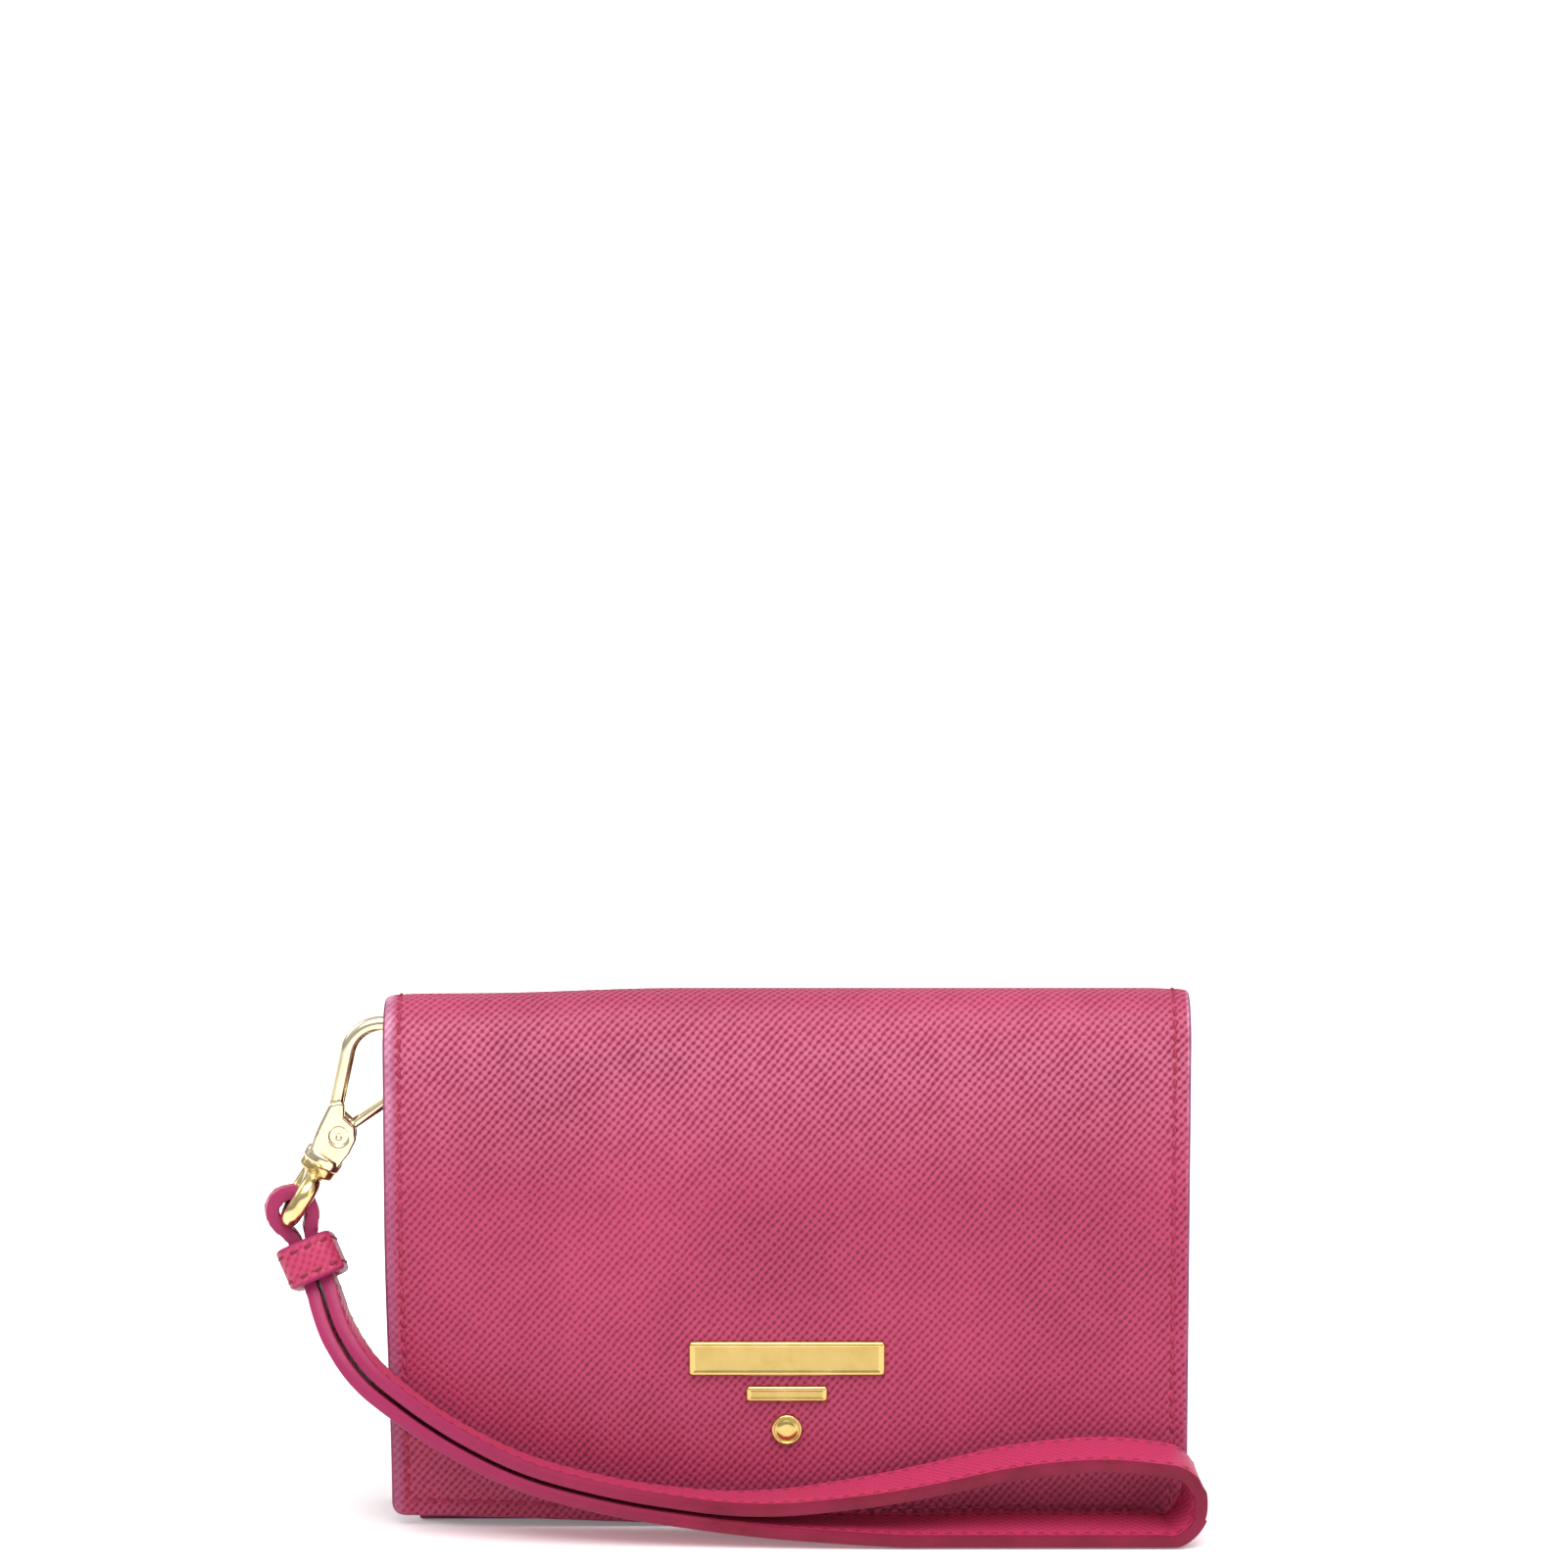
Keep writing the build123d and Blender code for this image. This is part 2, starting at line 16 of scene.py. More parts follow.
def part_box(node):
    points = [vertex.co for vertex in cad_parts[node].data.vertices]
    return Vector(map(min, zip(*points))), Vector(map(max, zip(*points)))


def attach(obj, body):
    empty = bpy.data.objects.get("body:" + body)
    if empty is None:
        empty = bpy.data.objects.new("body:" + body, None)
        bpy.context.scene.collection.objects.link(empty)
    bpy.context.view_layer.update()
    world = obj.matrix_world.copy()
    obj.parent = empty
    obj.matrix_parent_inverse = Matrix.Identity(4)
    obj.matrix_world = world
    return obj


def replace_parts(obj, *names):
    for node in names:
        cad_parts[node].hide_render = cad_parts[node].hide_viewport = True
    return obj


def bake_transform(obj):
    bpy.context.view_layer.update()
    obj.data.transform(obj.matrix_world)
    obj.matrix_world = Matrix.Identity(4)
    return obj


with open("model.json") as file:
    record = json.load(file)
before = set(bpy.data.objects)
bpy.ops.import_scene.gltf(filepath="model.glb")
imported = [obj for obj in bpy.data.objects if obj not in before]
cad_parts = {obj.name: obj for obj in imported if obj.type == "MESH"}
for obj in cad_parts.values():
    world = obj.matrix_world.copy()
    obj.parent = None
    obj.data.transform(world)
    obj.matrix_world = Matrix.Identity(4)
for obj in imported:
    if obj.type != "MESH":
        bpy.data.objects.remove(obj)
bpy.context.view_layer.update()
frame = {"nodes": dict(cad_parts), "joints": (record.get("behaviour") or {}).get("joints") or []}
MM = 0.001
random.seed(11)


def box(node):
    low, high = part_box(node)
    return low / MM, high / MM


def joint(name, field):
    return Vector(next(j for j in frame["joints"] if j["name"] == name)[field])


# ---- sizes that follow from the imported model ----
flap_box, back_box, spine_box = box("flap_leather"), box("back_leather"), box("spine_leather")
half_width = flap_box[1].x
radius = back_box[1].y  # of the round fold's outer face
fold_z = spine_box[1].z - radius  # height of the round fold's centre
arc = radius * math.pi / 2  # half the fold's skin
front_length = arc + fold_z - flap_box[0].z
rear_length = arc + fold_z - back_box[0].z
LEATHER, LINING = 1.4, 0.6  # thicknesses of the shell's two sheets
LINING_INSET = 1.0  # from the leather's free edges to the lining's
CORNER = 1.8  # radius of the free corners
STITCH_INSET, PITCH = 2.3, 2.15  # the sewn rows: from the edge, and stitch to stitch


# ---- node helpers ----
class Graph:
    """A material's node tree, with short calls that add nodes and join them up."""

    def __init__(self, name):
        self.material = bpy.data.materials.new(name)
        self.material.use_nodes = True
        self.tree = self.material.node_tree
        self.shader = self.tree.nodes["Principled BSDF"]

    def put(self, value, socket):
        if isinstance(value, bpy.types.NodeSocket):
            self.tree.links.new(value, socket)
        else:
            socket.default_value = value

    def add(self, kind, inputs=(), **settings):
        node = self.tree.nodes.new("ShaderNode" + kind)
        for key, value in settings.items():
            setattr(node, key, value)
        for key, value in dict(inputs).items():
            self.put(value, node.inputs[key])
        return node

    def math(self, operation, first, second=0.0):
        return self.add("Math", {0: first, 1: second}, operation=operation).outputs[0]

    def times(self, first, second):
        return self.math("MULTIPLY", first, second)

    def plus(self, first, second):
        return self.math("ADD", first, second)

    def parts(self, where):
        """The X, Y and Z of a place."""
        return self.add("SeparateXYZ", {0: where}).outputs

    def vector(self, operation, first, second):
        socket = 3 if operation == "SCALE" else 1
        return self.add("VectorMath", {0: first, socket: second}, operation=operation).outputs

    def skin(self):
        """The flat layout of a sheet, in millimetres."""
        return self.vector("SCALE", self.add("UVMap", uv_map="Skin").outputs[0], 1 / MM)[0]

    def place(self):
        """The place on the object, in millimetres."""
        return self.vector("SCALE", self.add("TexCoord").outputs["Object"], 1 / MM)[0]

    def noise(self, where, scale, detail=3.0, rough=0.55):
        inputs = {"Vector": where, "Scale": scale, "Detail": detail, "Roughness": rough}
        return self.add("TexNoise", inputs).outputs

    def shift(self, where, scale, amount):
        """where, moved about a little by noise."""
        centred = self.vector("SUBTRACT", self.noise(where, scale, 2.0)["Color"], (0.5, 0.5, 0.5))
        return self.vector("ADD", where, self.vector("SCALE", centred[0], amount)[0])[0]

    def wave(self, where, degrees, pitch):
        """0 to 1 waves whose crests run at that angle, pitch apart."""
        angle, rate = math.radians(degrees), 2 * math.pi / pitch
        across = (-math.sin(angle) * rate, math.cos(angle) * rate, 0.0)
        crest = self.math("SINE", self.vector("DOT_PRODUCT", where, across)["Value"])
        return self.add("Math", {0: crest, 1: 0.5, 2: 0.5}, operation="MULTIPLY_ADD").outputs[0]

    def ramp(self, value, low, high, to_low=0.0, to_high=1.0):
        node = self.add("MapRange", {0: value, 1: low, 2: high, 3: to_low, 4: to_high})
        return node.outputs[0]

    def mix(self, share, first, second):
        node = self.add("Mix", {0: share}, data_type="RGBA")
        for value, socket in ((first, node.inputs[6]), (second, node.inputs[7])):
            self.put((*value, 1.0) if isinstance(value, tuple) else value, socket)
        return node.outputs[2]

    def bump(self, height, distance, strength=1.0, normal=None):
        inputs = {"Height": height, "Distance": distance * MM, "Strength": strength}
        if normal is not None:
            inputs["Normal"] = normal
        return self.add("Bump", inputs).outputs[0]

    def finish(self, **inputs):
        """Sets the shader's inputs, named with _ for each space."""
        for key, value in inputs.items():
            colour = isinstance(value, tuple) and len(value) == 3
            self.put((*value, 1.0) if colour else value, self.shader.inputs[key.replace("_", " ")])
        return self.material


GRAIN_ANGLE, GRAIN_PITCH = 50.0, 0.89  # the strong ridges
CROSS_ANGLE, CROSS_PITCH = -40.0, 0.95  # the weaker ridges across them


def grained_leather(name, light, deep, grain=1.0, wear_and_highlight_at=None):
    """Leather pressed with a cross grain: strong slanting ridges, cut by weaker ones.

    The last argument, where given, is half the width of a sheet whose two sides are worn pale and whose
    upper part below the fold gets a painted highlight.
    """
    g = Graph(name)
    skin = g.shift(g.skin(), 0.55, 0.55)
    strong = g.math("POWER", g.wave(skin, GRAIN_ANGLE, GRAIN_PITCH), 0.9)
    weak = g.wave(skin, CROSS_ANGLE, CROSS_PITCH)
    patch = g.ramp(g.noise(skin, 0.9)["Fac"], 0.3, 0.7, 0.65, 1.0)
    cuts = g.ramp(g.noise(skin, 0.22)["Fac"], 0.35, 0.65, 0.22, 0.42)
    height = g.plus(g.times(g.times(strong, patch), 0.72), g.times(weak, cuts))
    pits = g.ramp(height, 0.05, 0.60)
    cloud = g.noise(g.place(), 0.035, 4.0)["Fac"]
    fleck = g.noise(skin, 3.5, 2.0)["Fac"]
    tone = g.plus(g.times(pits, 0.72), g.ramp(cloud, 0.3, 0.7, 0.0, 0.28))
    colour = g.mix(g.plus(tone, g.ramp(fleck, 0.2, 0.8, -0.08, 0.08)), deep, light)
    if wear_and_highlight_at:
        colour = with_wear_and_highlight(g, colour, height, wear_and_highlight_at)
    rough = g.ramp(pits, 0.0, 1.0, 0.62, 0.40)
    fine = g.bump(fleck, 0.02, 0.5)
    return g.finish(
        Base_Color=colour, Roughness=rough, Normal=g.bump(height, 0.10 * grain, 0.9, fine),
        Specular_IOR_Level=0.34, IOR=1.42, Sheen_Weight=0.05, Sheen_Roughness=0.5,
        Sheen_Tint=(1.0, 0.5, 0.65))


def with_wear_and_highlight(g, colour, height, half):
    """That colour, worn pale on the grain's ridges at a sheet's two sides, with a painted highlight
    that pales the ridges in a band below the fold.

    The sides are worn wider and dulled more on the left, and paler towards the top.
    """
    spot = g.parts(g.place())
    across = g.math("ABSOLUTE", g.parts(g.skin())[0])
    spread = g.ramp(spot[0], -10.0, 10.0, 1.7, 0.6)
    inset = g.math("DIVIDE", g.math("SUBTRACT", half, across), spread)
    upper = g.ramp(spot[2], 46.0, 72.0, 0.16, 1.0)
    patchy = g.ramp(g.noise(g.place(), 0.16, 4.0)["Fac"], 0.32, 0.62, 0.35, 0.95)
    rim = g.times(g.ramp(inset, 0.55, 1.15, 1.0, 0.0), g.times(upper, patchy))
    # Painted highlight: the grain's ridges paled in a band from 48 mm up to just under the fold's top,
    # for light reflected where the fold curves.
    band = g.times(g.ramp(spot[2], 48.0, 68.0, 0.0, 0.24), g.ramp(spot[2], 69.5, 73.0, 1.0, 0.2))
    fold = g.times(band, g.ramp(height, 0.2, 0.8))
    # The pale colour goes where the sides' wear or the painted highlight below the fold is stronger.
    wear_plus_highlight = g.math("MAXIMUM", g.times(rim, g.ramp(height, 0.1, 0.8, 0.5, 1.0)), fold)
    dull = g.times(g.ramp(inset, 0.6, 1.1, 0.6, 0.0), g.ramp(spot[0], -30.0, 0.0, 1.0, 0.3))
    return g.mix(wear_plus_highlight, g.mix(dull, colour, DULLED), WEAR_AND_HIGHLIGHT)


def smooth_paint(name, light, deep, faded=None):
    """Painted, burnished edges, smooth with faint runs; faded is the colour at the far left."""
    g = Graph(name)
    where = g.place()
    cloud = g.noise(where, 0.16, 4.0)["Fac"]
    runs = g.noise(where, 1.7, 3.0)["Fac"]
    colour = g.mix(g.ramp(cloud, 0.3, 0.72), deep, light)
    if faded:
        colour = g.mix(g.ramp(g.parts(where)[0], -66.0, -10.0, 0.8, 0.0), colour, faded)
    return g.finish(
        Base_Color=colour, Roughness=g.ramp(runs, 0.3, 0.7, 0.33, 0.5),
        Normal=g.bump(runs, 0.06, 0.5), Specular_IOR_Level=0.3, IOR=1.4)


TWILL_ANGLE, TWILL_PITCH = 62.0, 0.45


def fabric(name, light, deep):
    """A fine twill lining."""
    g = Graph(name)
    skin = g.shift(g.skin(), 0.8, 0.12)
    warp = g.wave(skin, TWILL_ANGLE, TWILL_PITCH)
    weft = g.wave(skin, 0.0, TWILL_PITCH * 0.8)
    height = g.times(warp, g.ramp(weft, 0.0, 1.0, 0.6, 1.0))
    slub = g.noise(skin, 0.4, 4.0)["Fac"]
    tone = g.plus(g.times(height, 0.7), g.ramp(slub, 0.3, 0.7, 0.0, 0.3))
    return g.finish(
        Base_Color=g.mix(tone, deep, light), Roughness=0.78, Normal=g.bump(height, 0.06, 0.8),
        Sheen_Weight=0.35, Sheen_Roughness=0.4, Sheen_Tint=(1.0, 0.75, 0.82))


def thread(name, light, deep):
    """Twisted sewing thread: its plies show as slanting ridges."""
    g = Graph(name)
    plies = g.wave(g.skin(), 38.0, 0.34)
    return g.finish(
        Base_Color=g.mix(plies, deep, light), Roughness=0.6, Normal=g.bump(plies, 0.03, 0.6),
        Specular_IOR_Level=0.3)


def metal(name, light, deep, rough, brushed=0.0):
    """Plated metal with faint haze, fine scratches and, where asked for, a brushed finish."""
    g = Graph(name)
    where = g.place()
    haze = g.noise(where, 0.22, 4.0)["Fac"]
    scratch = g.noise(g.vector("MULTIPLY", where, (0.35, 6.0, 6.0))[0], 2.0, 4.0, 0.7)["Fac"]
    colour = g.mix(g.ramp(haze, 0.3, 0.7), deep, light)
    uneven = g.plus(g.ramp(haze, 0.3, 0.7, rough * 0.75, rough * 1.3),
                    g.ramp(scratch, 0.45, 0.75, 0.0, 0.06 + brushed * 0.2))
    height = g.plus(g.times(scratch, 0.15 + brushed), g.times(haze, 0.2))
    return g.finish(
        Base_Color=colour, Metallic=1.0, Roughness=uneven, Normal=g.bump(height, 0.035, 0.5))


PINK, WINE = (0.44, 0.047, 0.120), (0.130, 0.006, 0.023)  # the grain's ridges and its pits
# The pale colour of the worn sides, also used for the painted highlight below the fold; then the darker
# colour the sides are dulled to.
WEAR_AND_HIGHLIGHT, DULLED = (0.68, 0.34, 0.48), (0.25, 0.050, 0.125)
leather = grained_leather("leather_grained", PINK, WINE)
# The shell's leather: its sides worn pale, with a painted highlight below the fold.
shell_leather = grained_leather("leather_shell", PINK, WINE, wear_and_highlight_at=half_width)
strap_leather = grained_leather("leather_strap", (0.46, 0.032, 0.106), (0.34, 0.018, 0.060), 0.35)
keeper_leather = grained_leather("leather_keeper", (0.45, 0.042, 0.112), (0.27, 0.014, 0.045), 0.7)
inner_leather = grained_leather("leather_inner", (0.44, 0.055, 0.115), (0.24, 0.017, 0.045), 0.5)
paint = smooth_paint("edge_paint", (0.30, 0.060, 0.15), (0.15, 0.016, 0.055))
strap_paint = smooth_paint("edge_paint_strap", (0.21, 0.009, 0.036), (0.14, 0.006, 0.022),
                           (0.33, 0.026, 0.105))
lining_cloth = fabric("lining_twill", (0.40, 0.075, 0.125), (0.19, 0.022, 0.042))
pink_thread = thread("thread_pink", (0.42, 0.032, 0.085), (0.20, 0.010, 0.032))
deep_thread = thread("thread_deep", (0.27, 0.016, 0.050), (0.12, 0.006, 0.020))
gold = metal("gold_pale", (0.87, 0.77, 0.56), (0.76, 0.63, 0.40), 0.15)
deep_gold = metal("gold_deep", (0.82, 0.66, 0.35), (0.68, 0.50, 0.20), 0.17)
emblem_gold = metal("gold_emblem", (0.70, 0.53, 0.20), (0.56, 0.39, 0.12), 0.20)
brushed_gold = metal("gold_brushed", (0.62, 0.46, 0.17), (0.48, 0.33, 0.10), 0.30, 0.6)
snap_metal = metal("snap_plated", (0.80, 0.70, 0.45), (0.66, 0.55, 0.32), 0.28, 0.3)
spring_steel = metal("spring_steel", (0.62, 0.60, 0.56), (0.46, 0.44, 0.41), 0.25)


# ---- mesh helpers ----
SHARP = math.radians(50)  # edges that bend more than this stay sharp


def mesh_object(name, verts, faces, materials, slots=None, skin=None):
    """An object of those millimetre points; skin gives each its place on the flat layout."""
    mesh = bpy.data.meshes.new(name)
    mesh.from_pydata([tuple(v * MM) for v in verts], [], faces)
    for material in materials:
        mesh.materials.append(material)
    if slots:
        mesh.polygons.foreach_set("material_index", slots)
    if skin:
        layer = mesh.uv_layers.new(name="Skin")
        for loop in mesh.loops:
            layer.data[loop.index].uv = skin[loop.vertex_index]
    b = bmesh.new()
    b.from_mesh(mesh)
    bmesh.ops.recalc_face_normals(b, faces=b.faces)
    b.to_mesh(mesh)
    b.free()
    mesh.polygons.foreach_set("use_smooth", [True] * len(mesh.polygons))
    mesh.set_sharp_from_angle(angle=SHARP)
    return put_in_scene(name, mesh)


def put_in_scene(name, data):
    made = bpy.data.objects.new(name, data)
    bpy.context.scene.collection.objects.link(made)
    return made


def marks(length, step, extra=()):
    """Places from 0 to length about step apart, with the extra ones put in."""
    count = max(1, round(length / step))
    wanted = sorted(x for x in extra if 0 <= x <= length)
    plain = [length * i / count for i in range(count + 1)]
    keep = [x for x in plain if all(abs(x - w) > step * 0.3 for w in wanted) or x in (0, length)]
    merged = []
    for x in sorted(keep + wanted):
        if not merged or x - merged[-1] > 0.01:
            merged.append(x)
    return merged


def edge_marks(inset, corner):
    """Distances from an edge where a sheet needs rows: its rounded corner and any stitch line."""
    rows = [corner * f for f in (0.0, 0.06, 0.2, 0.42, 0.7, 1.0)]
    return rows + [inset + d for d in (-0.36, -0.18, 0.0, 0.18, 0.36)] if inset else rows


class Sheet:
    """A flat pattern: half its width, its length from the top down, and how its edge is finished.

    rim is how far the edge is rounded in, corners the radii at top and bottom, top the cut of the
    top edge, sewn the stitch line's inset. A joined sheet goes on past its top.
    """

    def __init__(self, half, length, thick, rim=0.3, corners=(0.0, 0.0), top=None, joined=False,
                 step=1.6, sewn=STITCH_INSET, more_across=(), more_along=()):
        self.half, self.length, self.corners = half, length, corners
        self.top, self.joined, self.sewn = top or (lambda a: 0.0), joined, sewn
        t = thick
        self.rim = [(rim, 0.0), (rim * 0.35, t * 0.09), (0.0, t * 0.32),
                    (0.0, t * 0.68), (rim * 0.35, t * 0.91), (rim, t)]
        near = edge_marks(sewn, max(corners) or 1.0)
        across = [half - d for d in near] + list(more_across)
        side = marks(half, step, across)
        self.us = [-a / half for a in reversed(side) if a > 0] + [a / half for a in side]
        along = [length - d for d in near] + list(more_along)
        along += [0.05] if joined else near
        self.vs = [b / length for b in marks(length, step, along)]

    def spot(self, u, v, inset):
        """Where u, -1 to 1 across, and v, 0 to 1 down, lie on the sheet drawn in by inset."""
        a = u * (self.half - inset)
        top = self.top(a) + (0.0 if self.joined else inset)
        low = self.length - inset
        b = top + (low - top) * v
        width = self.half - inset
        for corner, distance in zip(self.corners, (b - top, low - b)):
            r = max(corner - inset, 0.02)
            if corner and distance < r:
                width -= r - math.sqrt(max(r * r - (r - distance) ** 2, 0.0))
        return u * width, b


def plate(name, sheet, place, materials, relief=None):
    """A sheet of leather or cloth with rounded edges all round. materials: face, edge, back."""
    verts, skin, faces, slots = [], [], [], []
    n, m = len(sheet.us), len(sheet.vs)

    def add(u, v, inset, depth, press=None):
        a, b = sheet.spot(u, v, inset)
        verts.append(place(a, b, depth + (press(a, b) if press else 0.0)))
        skin.append((a * MM, -b * MM - depth * MM))
        return len(verts) - 1

    def layer(inset, depth, press=None):
        return [[add(u, v, inset, depth, press) for u in sheet.us] for v in sheet.vs]

    outer, inner = layer(*sheet.rim[0], relief), layer(*sheet.rim[-1])
    border = [(0, j) for j in range(m)] + [(i, m - 1) for i in range(1, n)]  # once round
    border += [(n - 1, j) for j in range(m - 2, -1, -1)] + [(i, 0) for i in range(n - 2, 0, -1)]
    rings = [[outer[j][i] for i, j in border]]
    for inset, depth in sheet.rim[1:-1]:
        rings.append([add(sheet.us[i], sheet.vs[j], inset, depth) for i, j in border])
    rings.append([inner[j][i] for i, j in border])
    for grid, slot in ((outer, 0), (inner, 2)):
        for j in range(m - 1):
            for i in range(n - 1):
                faces.append((grid[j][i], grid[j][i + 1], grid[j + 1][i + 1], grid[j + 1][i]))
                slots.append(slot)
    for first, second in zip(rings, rings[1:]):
        for k in range(len(border)):
            after = (k + 1) % len(border)
            faces.append((first[k], first[after], second[after], second[k]))
            slots.append(1)
    return mesh_object(name, verts, faces, materials, slots, skin)


STITCH_SIDES = 7
STITCH_RINGS = [(-1.0, 0.12), (-0.86, 0.62), (-0.55, 0.94), (0.0, 1.0),
                (0.55, 0.94), (0.86, 0.62), (1.0, 0.12)]  # along a stitch: place, thickness
STITCH_LEAN, LEAN_SPREAD = 7.0, 3.0  # degrees off the row


def stitch_spots(runs, pitch):
    """The middle and the direction of each stitch along runs of (a, b) points."""
    for run in runs:
        for (a0, b0), (a1, b1) in zip(run, run[1:]):
            length = math.hypot(a1 - a0, b1 - b0)
            count = max(1, round(length / pitch))
            for k in range(count):
                f = (k + 0.5) / count
                yield (a0 + (a1 - a0) * f, b0 + (b1 - b0) * f,
                       (a1 - a0) / length, (b1 - b0) / length)


def stitches(name, runs, place, depth=0.02, pitch=PITCH, half_long=0.80, thick=0.25, material=None):
    """Rows of sewn stitches as short arched capsules, along runs of (a, b) points on a sheet."""
    verts, faces, skin = [], [], []
    for a, b, da, db in stitch_spots(runs, pitch):
        centre = place(a, b, depth)
        up = (place(a, b, depth - 1.0) - centre).normalized()
        ahead = (place(a + da * 0.5, b + db * 0.5, depth)
                 - place(a - da * 0.5, b - db * 0.5, depth))
        ahead = (ahead - up * ahead.dot(up)).normalized()
        lean = math.radians(STITCH_LEAN + random.uniform(-LEAN_SPREAD, LEAN_SPREAD))
        side = up.cross(ahead)
        ahead, side = (ahead * math.cos(lean) + side * math.sin(lean),
                       side * math.cos(lean) - ahead * math.sin(lean))
        scale = random.uniform(0.94, 1.04)
        start = len(verts)
        for t, r in STITCH_RINGS:
            arch = 0.20 * (1 - t * t) - 0.12
            middle = centre + ahead * (t * half_long * scale) + up * arch
            for q in range(STITCH_SIDES):
                w = 2 * math.pi * q / STITCH_SIDES
                offset = side * (math.cos(w) * thick * 1.1) + up * (math.sin(w) * thick * 0.85)
                verts.append(middle + offset * r)
                skin.append((t * half_long * MM, (w * thick + start * 0.01) * MM))
        faces += tube_faces(start, len(STITCH_RINGS), STITCH_SIDES)
        last = start + (len(STITCH_RINGS) - 1) * STITCH_SIDES
        faces.append(tuple(start + q for q in reversed(range(STITCH_SIDES))))
        faces.append(tuple(last + q for q in range(STITCH_SIDES)))
    return mesh_object(name, verts, faces, [material or pink_thread], None, skin)


def tube_faces(start, rings, around):
    """The faces between rings of points that follow one another."""
    made = []
    for i in range(rings - 1):
        for q in range(around):
            here, after = start + i * around + q, start + i * around + (q + 1) % around
            made.append((here, after, after + around, here + around))
    return made


# ---- shell ----
def clamped(x):
    return min(max(x, 0.0), 1.0)


def eased(x):
    """0 to 1, starting and ending gently."""
    x = clamped(x)
    return x * x * (3 - 2 * x)


FOLD_RISE = 0.95  # how much the fold's middle stands up
NEAR_DROP, FAR_DROP = 0.5, 0.3  # how much less it does on the left, in two steps
END_DROP = {True: 0.8, False: 0.5}  # at the fold's very ends, True the left one
END_RUN = 2.0  # how far in from an end that reaches
HEM_LIFT, HEM_DRAW = 1.2, 0.75  # the flap's left bottom corner, up and inward


def settle(p, front):
    """The shell's soft shape: the fold stands lower at its left end, the flap hangs uneven."""
    left = eased((-p.x - 12) / (half_width - 12))
    high = eased((p.z - 30) / (fold_z + radius - 30))
    turned = clamped((p.z - fold_z) / radius)
    end = clamped((abs(p.x) - half_width + END_RUN) / END_RUN)
    rise = (FOLD_RISE - NEAR_DROP * eased((-p.x - 16) / 26) - FAR_DROP * left) * high
    rise -= END_DROP[p.x < 0] * end * end * turned
    if not front:
        return Vector((p.x, p.y, p.z + rise))
    low = eased((45 - p.z) / 45)
    swell = 0.16 * math.cos(p.x / half_width * math.pi / 2)
    swell *= math.sin(clamped(p.z / fold_z) * math.pi)
    ripple = 0.07 * math.sin(p.x / 9.5 + 0.8) * low + 0.05 * math.sin(p.x / 17.0 + p.z / 13.0)
    proud = (swell + ripple) * (1 - eased((p.z - 55) / 12))
    return Vector((p.x + HEM_DRAW * left * low, p.y - proud, p.z + rise + HEM_LIFT * left * low))


def shell_place(side, base=0.0):
    """Where a point of the unrolled shell lies. side is -1 for the flap and 1 for the back."""
    def place(a, b, depth):
        r = radius - base - depth
        if b < arc:
            turn = b / radius
            p = Vector((a, side * r * math.sin(turn), fold_z + r * math.cos(turn)))
        else:
            p = Vector((a, side * r, fold_z - (b - arc)))
        return settle(p, side < 0)
    return place


def sewn_relief(sheet, depth=0.13, press=0.12, top=False):
    """Leather pressed in along the stitch line, which lies inside the free edges."""
    def relief(a, b):
        inside = [sheet.half - abs(a), sheet.length - b] + ([b - sheet.top(a)] if top else [])
        edge = min(inside)
        groove = math.exp(-((edge - sheet.sewn) / 0.2) ** 2)
        dip = math.exp(-((edge - sheet.sewn) / 1.5) ** 2) * eased(edge / 0.8)
        return depth * groove + press * dip
    return relief


def sewn_run(sheet, top=False):
    """One row of stitches round the free edges, the top edge too where that is asked for."""
    s = sheet.sewn
    a, low = sheet.half - s, sheet.length - s
    if top:
        return [[(-a, s), (-a, low), (a, low), (a, s), (-a, s)]]
    return [[(-a, PITCH * 0.1), (-a, low), (a, low), (a, PITCH * 0.1)]]


def on_fold(side, degrees):
    """A point of the round fold, in metres, that far down from its top."""
    turn = math.radians(degrees)
    return Vector((0, side * radius * math.sin(turn), fold_z + radius * math.cos(turn))) * MM


def join(piece, side):
    """Bakes a piece of the shell's transform into its mesh; the two fold points it works out are left
    unused.
    """
    near, far = on_fold(side, 80), on_fold(side, 10)
    if side > 0:
        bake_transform(piece)
        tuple(near)
        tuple(far)
    else:
        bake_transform(piece)
        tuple(far)
        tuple(near)
    return piece


def make_shell():
    fold_rows = [arc * i / 15 for i in range(16)]
    for side, name, length, nodes in (
            (1, "rear", rear_length, ("back_leather", "spine_leather")),
            (-1, "front", front_length, ("flap_leather",))):
        sheet = Sheet(half_width, length, LEATHER, corners=(0.0, CORNER), joined=True,
                      more_along=fold_rows)
        place = shell_place(side)
        piece = plate(f"shell_{name}", sheet, place, (shell_leather, paint, inner_leather),
                      sewn_relief(sheet))
        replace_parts(join(piece, side), *nodes)
        sewn = stitches(f"shell_{name}_stitches", sewn_run(sheet), place, 0.2)
        join(sewn, side)

        lined = Sheet(half_width - LINING_INSET, length - LINING_INSET, LINING, rim=0.15,
                      corners=(0.0, CORNER), joined=True, step=2.5, sewn=0, more_along=fold_rows)
        inside = plate(f"lining_{name}", lined, shell_place(side, LEATHER), (lining_cloth,) * 3)
        cad = ("back_lining", "spine_lining") if side > 0 else ("flap_lining",)
        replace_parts(join(inside, side), *cad)


# ---- inside panels ----
def upright(face_y, top_z, toward=1):
    """Lays a sheet upright: its face at face_y, its thickness going back from it."""
    return lambda a, b, depth: Vector((a, face_y + toward * depth, top_z - b))


